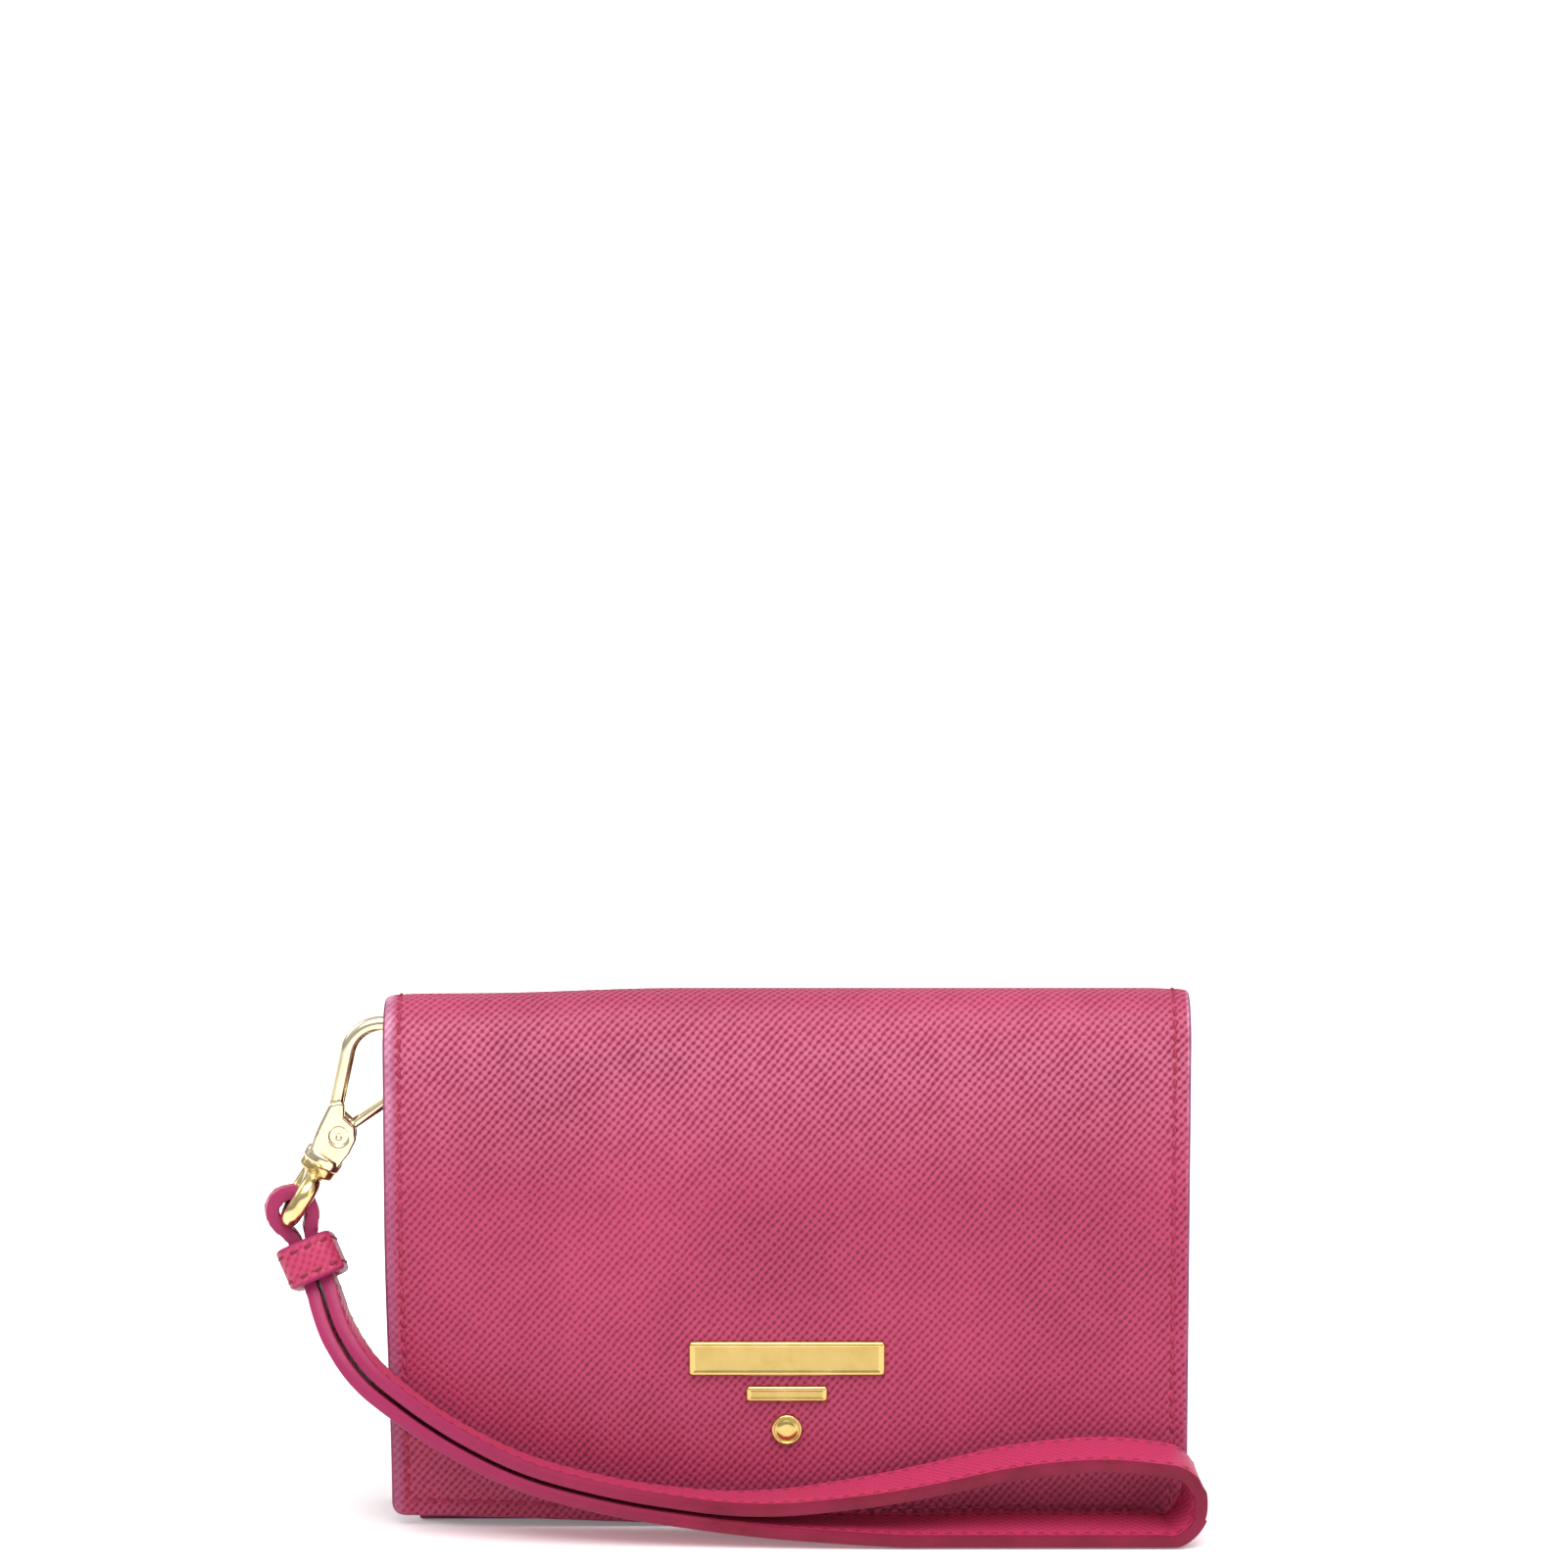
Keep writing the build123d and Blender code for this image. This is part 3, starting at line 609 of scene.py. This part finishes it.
def panel(name, node, materials, body, toward=1, rim=0.2, corners=(0.0, 0.0), top=None, more=(),
          sewn=1.5, rows=None):
    """A flat panel in place of a CAD sheet, with stitches where rows gives runs of points."""
    low, high = box(node)
    sheet = Sheet(high.x, high.z - low.z, high.y - low.y, rim=rim, corners=corners, top=top,
                  step=2.2, sewn=sewn, more_across=more)
    place = upright(low.y if toward > 0 else high.y, high.z, toward)
    relief = sewn_relief(sheet, 0.09, 0.05, top=True) if rows else None
    piece = plate(name, sheet, place, materials, relief)
    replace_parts(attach(piece, body), node)
    if rows:
        sewn_piece = stitches(name + "_stitches", rows(sheet), place, 0.06, half_long=0.72,
                              thick=0.19)
        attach(sewn_piece, body)


NOTCH, NOTCH_RISE = 9.0, 4.95  # the thumb scoop's radius, and its centre above the edge
notch_half = math.sqrt(NOTCH ** 2 - NOTCH_RISE ** 2)


def scoop(a):
    return math.sqrt(NOTCH ** 2 - a * a) - NOTCH_RISE if abs(a) < notch_half else 0.0


def top_row(sheet):
    """One row of stitches along the top edge, down through the scoop."""
    end, beside = sheet.half - sheet.sewn, notch_half + 1.2
    points = [-end, -beside, *(notch_half * i / 4 * 0.92 for i in range(-4, 5)), beside, end]
    return [[(a, scoop(a) + sheet.sewn) for a in points]]


def side_rows(sheet):
    return sewn_run(sheet, top=True)


def make_inside():
    all_leather = (inner_leather, paint, inner_leather)
    scoop_marks = [notch_half * i / 8 for i in range(1, 9)] + [notch_half - 0.05, notch_half + 0.4]
    for index in (1, 2, 3):
        panel(f"card_panel_{index}", f"card_slot_{index}", all_leather, "wallet", top=scoop,
              more=scoop_marks, rows=top_row)
    panel("pocket_wall_front", "pocket_front", (leather, paint, inner_leather), "pocket_wall",
          corners=(CORNER, 0.0), rows=side_rows)
    panel("pocket_wall_lining", "pocket_lining", (lining_cloth,) * 3, "pocket_wall", rim=0.12, sewn=0)
    panel("flap_slip_pocket", "flap_pocket", all_leather, "flap", toward=-1, rim=0.15,
          corners=(CORNER, CORNER), rows=side_rows)

    low, high = box("base_strip")
    sheet = Sheet(high.x, high.y - low.y, high.z - low.z, rim=0.3, sewn=0)
    piece = plate("bottom_strip", sheet, lambda a, b, d: Vector((a, low.y + b, high.z - d)),
                  (inner_leather, paint, leather))
    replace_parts(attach(piece, "wallet"), "base_strip")
    make_gusset(-1, "gusset_left")
    make_gusset(1, "gusset_right")


GUSSET_THICK = 0.45


def make_gusset(side, node):
    """A soft pleat between the card panels and the pocket's front wall."""
    low, high = box(node)
    outer = side * max(abs(low.x), abs(high.x))
    reach = high.x - low.x - 0.6  # how far in the pleat's crease lies
    half_run = math.hypot(reach, (high.y - low.y) / 2)

    def place(a, b, depth):
        t = a / half_run
        fold = reach * (math.cos(t * math.pi / 2) ** 1.4 if abs(t) < 1 else 0.0)
        flatter = 1 - 0.25 * b / (high.z - low.z)
        across = outer - side * (0.05 + fold * flatter + depth)
        return Vector((across, low.y + (high.y - low.y) * (t + 1) / 2, high.z - b))

    sheet = Sheet(half_run, high.z - low.z, GUSSET_THICK, rim=0.1, step=0.35, sewn=0)
    sheet.vs = [r / sheet.length for r in marks(sheet.length, 2.0)]
    piece = plate(f"pleat_{'left' if side < 0 else 'right'}", sheet, place,
                  (inner_leather, paint, inner_leather))
    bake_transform(piece)
    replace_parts(piece, node)


# ---- ribbons: strap, keeper and ring tab ----
def rounded(points, radii, closed, step):
    """A run of corners with an arc where radii has one, as points no more than step apart."""
    made = []
    count = len(points)
    for i, here in enumerate(points):
        r = radii[i]
        if not r:
            made.append(here)
            continue
        arriving = (here - points[i - 1]).normalized()
        leaving = (points[(i + 1) % count] - here).normalized()
        turn = arriving.angle_signed(leaving)
        reach = r * math.tan(abs(turn) / 2)
        start = here - arriving * reach
        pieces = max(3, math.ceil(abs(turn) * r / (step * 0.6)))
        side = Vector((-arriving.y, arriving.x)) * (-1 if turn > 0 else 1)
        centre = start + side * r
        for k in range(pieces + 1):
            spin = Matrix.Rotation(-turn * k / pieces, 2)
            made.append(centre + spin @ (start - centre))
    dense = []
    for here, after in zip(made, made[1:] + ([made[0]] if closed else [])):
        parts = max(1, math.ceil((after - here).length / step))
        dense += [here + (after - here) * k / parts for k in range(parts)]
    if not closed:
        dense.append(made[-1])
    return [p for i, p in enumerate(dense) if i == 0 or (p - dense[i - 1]).length > 1e-4]


class Route:
    """A ribbon's middle line, with the way its face looks and its width's direction all along."""

    def __init__(self, points, faces, widths, closed):
        self.points, self.faces, self.widths, self.closed = points, faces, widths, closed
        self.at = [0.0]
        ends = points[1:] + ([points[0]] if closed else [])
        for here, after in zip(points, ends):
            self.at.append(self.at[-1] + (after - here).length)
        self.length = self.at[-1]

    def spot(self, s):
        """The point, the face's way and the width's way at that distance along."""
        s = s % self.length if self.closed else min(max(s, 0.0), self.length)
        low = min(bisect.bisect_right(self.at, s), len(self.at) - 1) - 1
        share = (s - self.at[low]) / max(self.at[low + 1] - self.at[low], 1e-9)
        after = (low + 1) % len(self.points)
        return tuple(run[low].lerp(run[after], share) for run in (self.points, self.faces, self.widths))


GROOVE_DEPTH, GROOVE_WIDE = 0.1, 0.17  # pressed along a ribbon's stitches


def ribbon(name, route, width, thick, materials, row, edge=0.32):
    """A closed strap of that route, sewn row either side of its middle.

    materials: outer face, painted edge, inner face. edge is how far the edge is rounded in.
    """
    half, t = width / 2, thick / 2
    grooved = sorted({round(row * s + d, 4) for s in (-1, 1) for d in (-0.3, -0.14, 0, 0.14, 0.3)})
    reach = half - edge
    flat = [x - reach for x in marks(2 * reach, 1.1, [g + reach for g in grooved])]
    curve = [(half - edge * 0.38, t - edge * 0.28), (half, t * 0.42), (half + 0.06, 0.0)]
    top = [(w, t - GROOVE_DEPTH * math.exp(-((abs(w) - row) / GROOVE_WIDE) ** 2), 0) for w in flat]
    right = [(w, n, 1) for w, n in curve] + [(w, -n, 1) for w, n in reversed(curve[:-1])]
    section = top + right + [(-w, -n, 2) for w, n, _ in top] + [(-w, -n, 1) for w, n, _ in right]
    verts, faces, slots, skin = [], [], [], []
    size = len(section)
    around = [0.0]  # distance round the section
    for (w0, n0, _), (w1, n1, _) in zip(section, section[1:]):
        around.append(around[-1] + math.hypot(w1 - w0, n1 - n0))
    for s, p, face, wide in zip(route.at, route.points, route.faces, route.widths):
        for (w, n, _), r in zip(section, around):
            verts.append(p + wide * w + face * n)
            skin.append((s * MM, r * MM))
    stations = len(route.points)
    for i in range(stations):
        after = (i + 1) % stations
        for k in range(size):
            nk = (k + 1) % size
            faces.append((i * size + k, i * size + nk, after * size + nk, after * size + k))
            kinds = {section[k][2], section[nk][2]}
            slots.append(1 if 1 in kinds else kinds.pop())
    return mesh_object(name, verts, faces, materials, slots, skin)


def route_place(route, thick):
    """For stitches on a ribbon: a is across it and b along it."""
    def place(a, b, depth):
        p, face, wide = route.spot(b)
        return p + wide * a + face * (thick / 2 - depth)
    return place


def flipped(route):
    """The same line with its other face out."""
    return Route(route.points, [-f for f in route.faces], route.widths, route.closed)


strap_box = box("strap")
STRAP_WIDTH, STRAP_THICK, STRAP_GAP = 9.5, 1.9, 0.6  # the gap is between the neck's strands
EYE_BAR, EYE_SLACK = 1.1, 0.65  # the bar's radius, and the small loop's room round it
HALF_PAIR = STRAP_THICK + STRAP_GAP / 2  # half the thickness of both strands and their gap
NECK_START, NECK_LENGTH = 3.6, 16.45  # where the strands come together, and where they curve off
NECK_ROLL, MIDDLE_ROLL, LOOP_ROLL = -6.0, -9.0, 5.5  # twist in degrees, + tips the face forward
END_TURN = 9.0  # degrees about Z that the wrist loop's far end is turned
NECK_LIE = math.radians(9)  # the small loop round the eye dips to the back
FAR_DRAW, FLOOR_ROOM = 0.6, 0.12  # the far end's shift inward, the least room under the strap
# Heights along the wrist loop, by share of its run from the neck's end to the far end. The middle
# line's are shares of the neck end's height, the two strands' are above the floor.
MIDDLE_LIE = [(0.034, 0.800), (0.116, 0.505), (0.213, 0.272), (0.330, 0.133), (0.480, 0.048)]
LOWER_LIE = [(0.64, 0.45), (0.79, 0.0)]
UPPER_LIE = [(0.64, 6.3), (0.79, 10.6), (0.895, 11.75)]
FAR_HEIGHT, FAR_CORNERS = 10.15, (5.5, 4.4)  # of the loop's far end, lower one first

eye = joint("strap_swing", "pos_m") / MM
slide = joint("keeper_slide", "axis")
neck_down = Vector((slide.x, 0, slide.z)).normalized()
neck_side = Vector((neck_down.z, 0, -neck_down.x))
far_x = strap_box[1].x - STRAP_THICK / 2
far_front = -strap_box[0].y - STRAP_WIDTH / 2


def strap_middle():
    """The middle line between the strands, from the keeper to where they part."""
    neck_end = eye + neck_down * NECK_LENGTH
    run, tall = far_x - neck_end.x, neck_end.z - HALF_PAIR
    lie = [Vector((neck_end.x + a * run, 0, HALF_PAIR + b * tall)) for a, b in MIDDLE_LIE]
    return [eye + neck_down * NECK_START, neck_end, *lie]


def strap_outline():
    """The strap's closed middle line in X and Z, with the radius of each corner."""
    spread, floor_z = (STRAP_THICK + STRAP_GAP) / 2, STRAP_THICK / 2
    middle = strap_middle()
    start, run = middle[1].x, far_x - middle[1].x

    def beside(i, side):
        before = middle[i - 1] if i else eye
        after = middle[i + 1] if i + 1 < len(middle) else middle[i] * 2 - before
        ahead = (middle[i] - before).normalized() + (after - middle[i]).normalized()
        ahead = Vector((ahead.x, 0, ahead.z)).normalized()
        return middle[i] + Vector((ahead.z, 0, -ahead.x)) * spread * side

    left = [beside(i, 1) for i in range(len(middle))]
    right = [beside(i, -1) for i in range(len(middle))]
    left += [Vector((start + a * run, 0, floor_z + h)) for a, h in LOWER_LIE]
    right += [Vector((start + a * run, 0, floor_z + h)) for a, h in UPPER_LIE]
    end = [Vector((far_x, 0, floor_z)), Vector((far_x, 0, floor_z + FAR_HEIGHT))]
    reach = EYE_BAR + EYE_SLACK + STRAP_THICK / 2
    corner = [eye + neck_side * side * reach - neck_down * reach for side in (1, -1)]
    waist = [eye + neck_side * side * reach + neck_down * 0.9 for side in (1, -1)]
    outline = [corner[0], waist[0], *left, *end, *reversed(right), waist[1], corner[1]]
    outline = [Vector((p.x, p.z)) for p in outline]
    last = len(outline) - 1
    fixed = {0: reach * 0.98, 1: 2.4, 2: 2.4}
    fixed |= {last - key: value for key, value in fixed.items()}
    fixed |= {len(left) + 2 + i: r for i, r in enumerate(FAR_CORNERS)}
    radii = []
    for i, here in enumerate(outline):
        first, second = here - outline[i - 1], outline[(i + 1) % len(outline)] - here
        widest = 0.45 * min(first.length, second.length) / math.tan(first.angle(second) / 2)
        radii.append(fixed.get(i) or widest)
    return outline, radii


def strap_forward():
    """How far the strap's middle lies in front of y = 0, by distance along the neck."""
    middle = strap_middle()
    beside = -half_width - HALF_PAIR
    i = next(i for i, p in enumerate(middle) if p.x > beside)
    share = (beside - middle[i - 1].x) / (middle[i].x - middle[i - 1].x)
    meet = middle[i - 1].lerp(middle[i], share)
    edge = (Vector((meet.x, 0, meet.z)) - Vector((eye.x, 0, eye.z))).dot(neck_down) - 1
    near = 1.4 - eye.y
    points = [(-8, near), (3, near), (edge * 0.52, near + 2.4), (edge, radius + 6.1),
              (edge + 46, far_front), (half_width * 2 + 30, far_front)]
    line = rounded([Vector(p) for p in points], [0, 12, 15, 15, 60, 0], False, 0.5)

    def forward(t):
        for here, after in zip(line, line[1:]):
            if t <= after.x:
                share = max(t - here.x, 0) / max(after.x - here.x, 1e-6)
                return here.y + (after.y - here.y) * share
        return line[-1].y
    return forward


def strap_route():
    """The strap as it lies: its outline brought forward, twisted, and kept off the floor."""
    outline, radii = strap_outline()
    forward = strap_forward()
    flat = rounded(outline, radii, True, 0.7)
    flat = [p for i, p in enumerate(flat) if (p - flat[i - 1]).length > 0.05]
    loop_lie = Vector((0, math.cos(NECK_LIE), -math.sin(NECK_LIE)))
    points, faces, widths = [], [], []
    for p in flat:
        t = Vector((p.x - eye.x, 0, p.y - eye.z)).dot(neck_down)
        x = p.x - FAR_DRAW * eased((p.x - far_x + 12) / 12)
        points.append(Vector((x, -forward(t), p.y)))
    for i, p in enumerate(points):
        ahead = (points[(i + 1) % len(points)] - points[i - 1]).normalized()
        wide = ahead.cross(Vector((ahead.z, 0, -ahead.x))).normalized()
        level = 1 - eased(((p - eye).dot(neck_down) - 1) / 7)
        wide = wide.lerp(loop_lie - ahead * ahead.dot(loop_lie), level).normalized()
        twist = strap_twist(p, ahead)
        faces.append(twist @ wide.cross(ahead).normalized())
        widths.append(twist @ wide)
    for p, face, wide in zip(points, faces, widths):
        under = abs(face.z) * STRAP_THICK / 2 + abs(wide.z) * STRAP_WIDTH / 2
        p.z = max(p.z, under + FLOOR_ROOM)
    return Route(points, faces, widths, True)


def strap_twist(p, ahead):
    """The strap's lie: turned back at the neck, and tipped to the front along the wrist loop."""
    along = (p - eye).dot(neck_down)
    if along < NECK_LENGTH * 0.8:
        run = neck_down
    elif abs(ahead.x) > 0.3:
        run = ahead * math.copysign(1.0, ahead.x)
    else:
        run = Vector((1, 0, 0))
    roll = NECK_ROLL + (MIDDLE_ROLL - NECK_ROLL) * eased((p.x + 62) / 14)
    roll += (LOOP_ROLL - MIDDLE_ROLL) * eased((p.x + 28) / 58)
    twist = Matrix.Rotation(math.radians(roll), 3, run)
    end = eased((p.x - far_x + 9) / 9)
    return Matrix.Rotation(math.radians(END_TURN * end), 3, "Z") @ twist


STRAP_ROW = 1.15  # the sewn rows' inset on the strap and the keeper


def make_strap():
    """The strap, with a row of stitches along both edges of both faces."""
    route = strap_route()
    row = STRAP_WIDTH / 2 - STRAP_ROW
    piece = ribbon("wrist_strap", route, STRAP_WIDTH, STRAP_THICK,
                   (strap_leather, strap_paint, strap_leather), row)
    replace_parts(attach(piece, "strap"), "strap")
    length = min(round(route.length / PITCH) * PITCH, route.length - 0.2)
    runs = [[(a, 0.0), (a, length)] for a in (-row, row)]
    for face, side in ((route, "outer"), (flipped(route), "inner")):
        sewn = stitches(f"wrist_strap_stitches_{side}", runs, route_place(face, STRAP_THICK), 0.15,
                        half_long=0.74, thick=0.2, material=deep_thread)
        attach(sewn, "strap")


KEEPER_LENGTH, KEEPER_WALL, KEEPER_CORNER = 5.9, 1.4, 1.9
SIDE_PLAY, FACE_PLAY = 0.95, 0.5  # room between the keeper and the strap


def make_keeper():
    """A leather band round both strands, twisted as the neck is."""
    low, high = box("keeper")
    centre = (low + high) / 2
    roll = Matrix.Rotation(math.radians(NECK_ROLL), 3, neck_down)
    down, deep = roll @ slide.normalized(), roll @ neck_side
    wide = deep.cross(down)
    half_wide = STRAP_WIDTH / 2 + SIDE_PLAY + KEEPER_WALL / 2
    half_thick = HALF_PAIR + FACE_PLAY + KEEPER_WALL / 2
    turns = ((-1, -1), (1, -1), (1, 1), (-1, 1))
    loop = rounded([Vector((half_wide * x, half_thick * y)) for x, y in turns],
                   [KEEPER_CORNER] * 4, True, 0.5)
    points = [centre + wide * p.x + deep * p.y for p in loop]
    faces = []
    for i in range(len(points)):
        ahead = (points[(i + 1) % len(points)] - points[i - 1]).normalized()
        out = ahead.cross(down)
        faces.append(out if out.dot(points[i] - centre) > 0 else -out)
    route = Route(points, faces, [down] * len(points), True)
    row = KEEPER_LENGTH / 2 - STRAP_ROW
    piece = ribbon("strap_keeper", route, KEEPER_LENGTH, KEEPER_WALL,
                   (keeper_leather, strap_paint, inner_leather), row, edge=0.45)
    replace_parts(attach(piece, "keeper"), "keeper")
    runs = [[(a, 0.3), (a, route.length - 0.3)] for a in (-row, row)]
    sewn = stitches("strap_keeper_stitches", runs, route_place(route, KEEPER_WALL), 0.12, pitch=2.1,
                    half_long=0.72, thick=0.23, material=deep_thread)
    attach(sewn, "keeper")


TAB_THICK, TAB_WRAP = 0.8, 1.2  # the wrap is from the ring's bar to the leather's middle


def make_ring_tab():
    """A leather strip folded round the ring's bar, sewn through both its legs."""
    low, high = box("ring_tab")
    bar = joint("ring_swing", "pos_m") / MM
    end, rear, near = high.x, high.y - TAB_THICK / 2, bar.y - TAB_WRAP
    corners = [(end, rear), (bar.x - TAB_WRAP, rear), (bar.x - TAB_WRAP, near),
               (bar.x + 1.2, near), (bar.x + 3.8, near + 1.6), (end, near + 1.6)]
    line = rounded([Vector(p) for p in corners], [0, 1.19, 1.19, 1.0, 1.0, 0], False, 0.35)
    points = [Vector((p.x, p.y, (low.z + high.z) / 2)) for p in line]
    faces = []
    for i in range(len(points)):
        ahead = points[min(i + 1, len(points) - 1)] - points[max(i - 1, 0)]
        faces.append(Vector((-ahead.y, ahead.x, 0)).normalized() * -1)
    route = Route(points, faces, [Vector((0, 0, 1))] * len(points), False)
    place = route_place(route, TAB_THICK)
    sheet = Sheet((high.z - low.z) / 2, route.length, TAB_THICK, rim=0.16, step=0.4, sewn=0)
    sheet.vs = [s / route.length for s in route.at]
    piece = plate("ring_tab_leather", sheet, place, (leather, paint, inner_leather))
    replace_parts(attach(piece, "wallet"), "ring_tab")
    a, last = sheet.half - 1.1, route.length
    runs = [[(-a, last - 1.0), (a, last - 1.0)], [(-a, last - 4.4), (a, last - 4.4)]]
    sewn = stitches("ring_tab_stitches", runs, place, 0.02, pitch=1.9, half_long=0.62, thick=0.18)
    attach(sewn, "wallet")


# ---- emblem ----
def emblem_plate(name, node, recess):
    """A gold bar with bevelled edges and, inside a border recess wide, a brushed, sunk field."""
    low, high = box(node)
    centre = (low + high) / 2
    width, tall, rise = high.x - low.x, high.z - low.z, high.y - low.y
    sheet = Sheet(width / 2, tall, rise, corners=(0.5, 0.5), sewn=0, step=0.8)
    sheet.rim = [(recess + 0.16, 0.14), (recess, 0.0), (0.42, 0.0), (0.2, 0.07), (0.06, 0.22),
                 (0.0, 0.42), (0.0, rise)]

    def place(a, b, depth):
        return Vector((centre.x + a, low.y + depth, high.z - b))
    piece = plate(name, sheet, place, (brushed_gold, emblem_gold, emblem_gold))
    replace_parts(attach(piece, "flap"), node)


BOSS_SIDES = 64
BOSS_PROFILE = [(0.35, 0.04), (0.62, 0.12), (0.70, 0.28), (0.76, 0.28), (0.80, 0.06),
                (0.86, 0.0), (0.93, 0.04), (0.98, 0.16), (1.0, 0.36)]  # share of radius, depth
BOSS_MIDDLE = 0.02  # the dome's depth


def emblem_boss():
    """A small round boss with a ring turned in it and a domed middle."""
    low, high = box("emblem_boss")
    centre = (low + high) / 2
    r = (high.x - low.x) / 2
    rings = BOSS_PROFILE + [(1.0, high.y - low.y)]
    verts = []
    for share, depth in rings:
        for q in range(BOSS_SIDES):
            w = 2 * math.pi * q / BOSS_SIDES
            verts.append(Vector((centre.x + r * share * math.cos(w), low.y + depth,
                                 centre.z + r * share * math.sin(w))))
    faces = tube_faces(0, len(rings), BOSS_SIDES)
    verts.append(Vector((centre.x, low.y + BOSS_MIDDLE, centre.z)))
    faces += [(len(verts) - 1, (q + 1) % BOSS_SIDES, q) for q in range(BOSS_SIDES)]
    last = (len(rings) - 1) * BOSS_SIDES
    faces.append(tuple(last + q for q in range(BOSS_SIDES)))
    piece = mesh_object("emblem_round", verts, faces, [emblem_gold])
    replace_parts(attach(piece, "flap"), "emblem_boss")


# ---- metal ----
CAST_VOXEL = 0.10


def cast_copy(name, node, body, rounds, fill, material):
    """The node's own shape as a casting: its edges softened in rounds, then grown by fill."""
    mesh = frame["nodes"][node].data.copy()
    mesh.name = name
    made = put_in_scene(name, mesh)
    remesh = made.modifiers.new("remesh", "REMESH")
    remesh.mode, remesh.voxel_size = "VOXEL", CAST_VOXEL * MM
    soft = made.modifiers.new("soft", "SMOOTH")
    soft.factor, soft.iterations = 0.5, rounds
    full = made.modifiers.new("full", "DISPLACE")
    full.direction, full.mid_level, full.strength = "NORMAL", 0.0, fill * MM
    dg = bpy.context.evaluated_depsgraph_get()
    final = bpy.data.meshes.new_from_object(made.evaluated_get(dg))
    made.modifiers.clear()
    made.data = final
    final.name = name
    final.materials.clear()
    final.materials.append(material)
    final.polygons.foreach_set("use_smooth", [True] * len(final.polygons))
    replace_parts(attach(made, body), node)


def make_metal():
    cast_copy("hook_casting", "hook_frame", "hook", 12, 0.29, gold)
    cast_copy("eye_casting", "swivel_eye", "swivel", 9, 0.24, deep_gold)
    cast_copy("ring_wire", "d_ring", "ring", 4, 0.03, gold)
    cast_copy("gate_casting", "gate", "gate", 4, 0.03, gold)
    kept = {"gate_pin": gold, "gate_spring": spring_steel, "snap_socket": snap_metal,
            "snap_stud": snap_metal, "socket_washer": snap_metal, "stud_washer": snap_metal}
    for node, material in kept.items():
        for holder in frame["nodes"][node].material_slots:
            holder.material = material


# ---- studio ----
AIM = Vector((0, 0, 0.035))  # metres, the wallet's middle
SKY_LOW, SKY_HIGH = 0.30, 0.72  # the white sky's strength, level and overhead
FLOOR_REACH = 6.0  # metres


def area_light(name, place, size, power):
    data = bpy.data.lights.new(name, "AREA")
    data.shape, data.size, data.size_y = "RECTANGLE", *size
    data.energy = power
    made = put_in_scene(name, data)
    made.location = place
    made.rotation_euler = (AIM - Vector(place)).to_track_quat("-Z", "Y").to_euler()


def white_sky():
    """White light from all round, stronger from above."""
    world = bpy.data.worlds.new("studio")
    bpy.context.scene.world = world
    world.use_nodes = True
    tree = world.node_tree
    direction = tree.nodes.new("ShaderNodeTexCoord")
    split = tree.nodes.new("ShaderNodeSeparateXYZ")
    level = tree.nodes.new("ShaderNodeMapRange")
    for i, value in enumerate((0.0, 0.55, SKY_LOW, SKY_HIGH)):
        level.inputs[i + 1].default_value = value
    tree.links.new(direction.outputs["Generated"], split.inputs[0])
    tree.links.new(split.outputs["Z"], level.inputs[0])
    tree.links.new(level.outputs[0], tree.nodes["Background"].inputs["Strength"])
    tree.nodes["Background"].inputs["Color"].default_value = (1.0, 1.0, 1.0, 1.0)


def white_floor():
    g = Graph("floor_white")
    cloud = g.noise(g.place(), 0.004, 2.0)["Fac"]
    g.finish(Base_Color=g.mix(cloud, (0.90, 0.90, 0.90), (0.93, 0.93, 0.93)), Roughness=0.75,
             Specular_IOR_Level=0.2, Emission_Color=(1.0, 1.0, 1.0), Emission_Strength=0.16)
    corners = ((-1, -1), (1, -1), (1, 2), (-1, 2))
    mesh = bpy.data.meshes.new("floor")
    mesh.from_pydata([(FLOOR_REACH * x, FLOOR_REACH * y, -0.0001) for x, y in corners], [],
                     [(0, 1, 2, 3)])
    mesh.materials.append(g.material)
    floor = put_in_scene("floor", mesh)


def studio():
    white_sky()
    white_floor()
    sun = bpy.data.lights.new("overhead", "SUN")
    sun.energy, sun.angle = 1.9, math.radians(50)
    overhead = put_in_scene("overhead", sun)
    overhead.rotation_euler = (math.radians(24), math.radians(10), 0)
    area_light("key", (-0.25, -0.55, 0.95), (0.9, 0.7), 5.5)
    area_light("fill", (0.85, -0.7, 0.35), (0.6, 0.8), 1.6)
    area_light("rim", (-0.7, 0.35, 0.55), (0.5, 0.5), 1.6)

    view = bpy.context.scene.view_settings
    view.view_transform = "Standard"
    view.look = "None"
    view.exposure = 0.0


ELEVATION, LIFT = math.radians(14.0), math.radians(3.82)
LENS, SENSOR = 162.0, 36.0


def camera():
    """The camera stands 1 m off, up by ELEVATION, and looks LIFT higher than the wallet."""
    target = Vector((-0.0004, 0.0, (fold_z + radius) / 2 * MM))
    data = bpy.data.cameras.new("camera")
    data.lens, data.sensor_width = LENS, SENSOR
    data.clip_start, data.clip_end = 0.05, 60.0
    made = put_in_scene("camera", data)
    made.location = target + Vector((0, -math.cos(ELEVATION), math.sin(ELEVATION)))
    made.rotation_euler = (math.pi / 2 - ELEVATION + LIFT, 0, 0)
    bpy.context.scene.camera = made


camera()
make_shell()
make_inside()
make_ring_tab()
make_strap()
make_keeper()
emblem_plate("emblem_long_bar", "emblem_bar", 0.75)
emblem_plate("emblem_short_bar", "emblem_plate", 0.6)
emblem_boss()
make_metal()
studio()
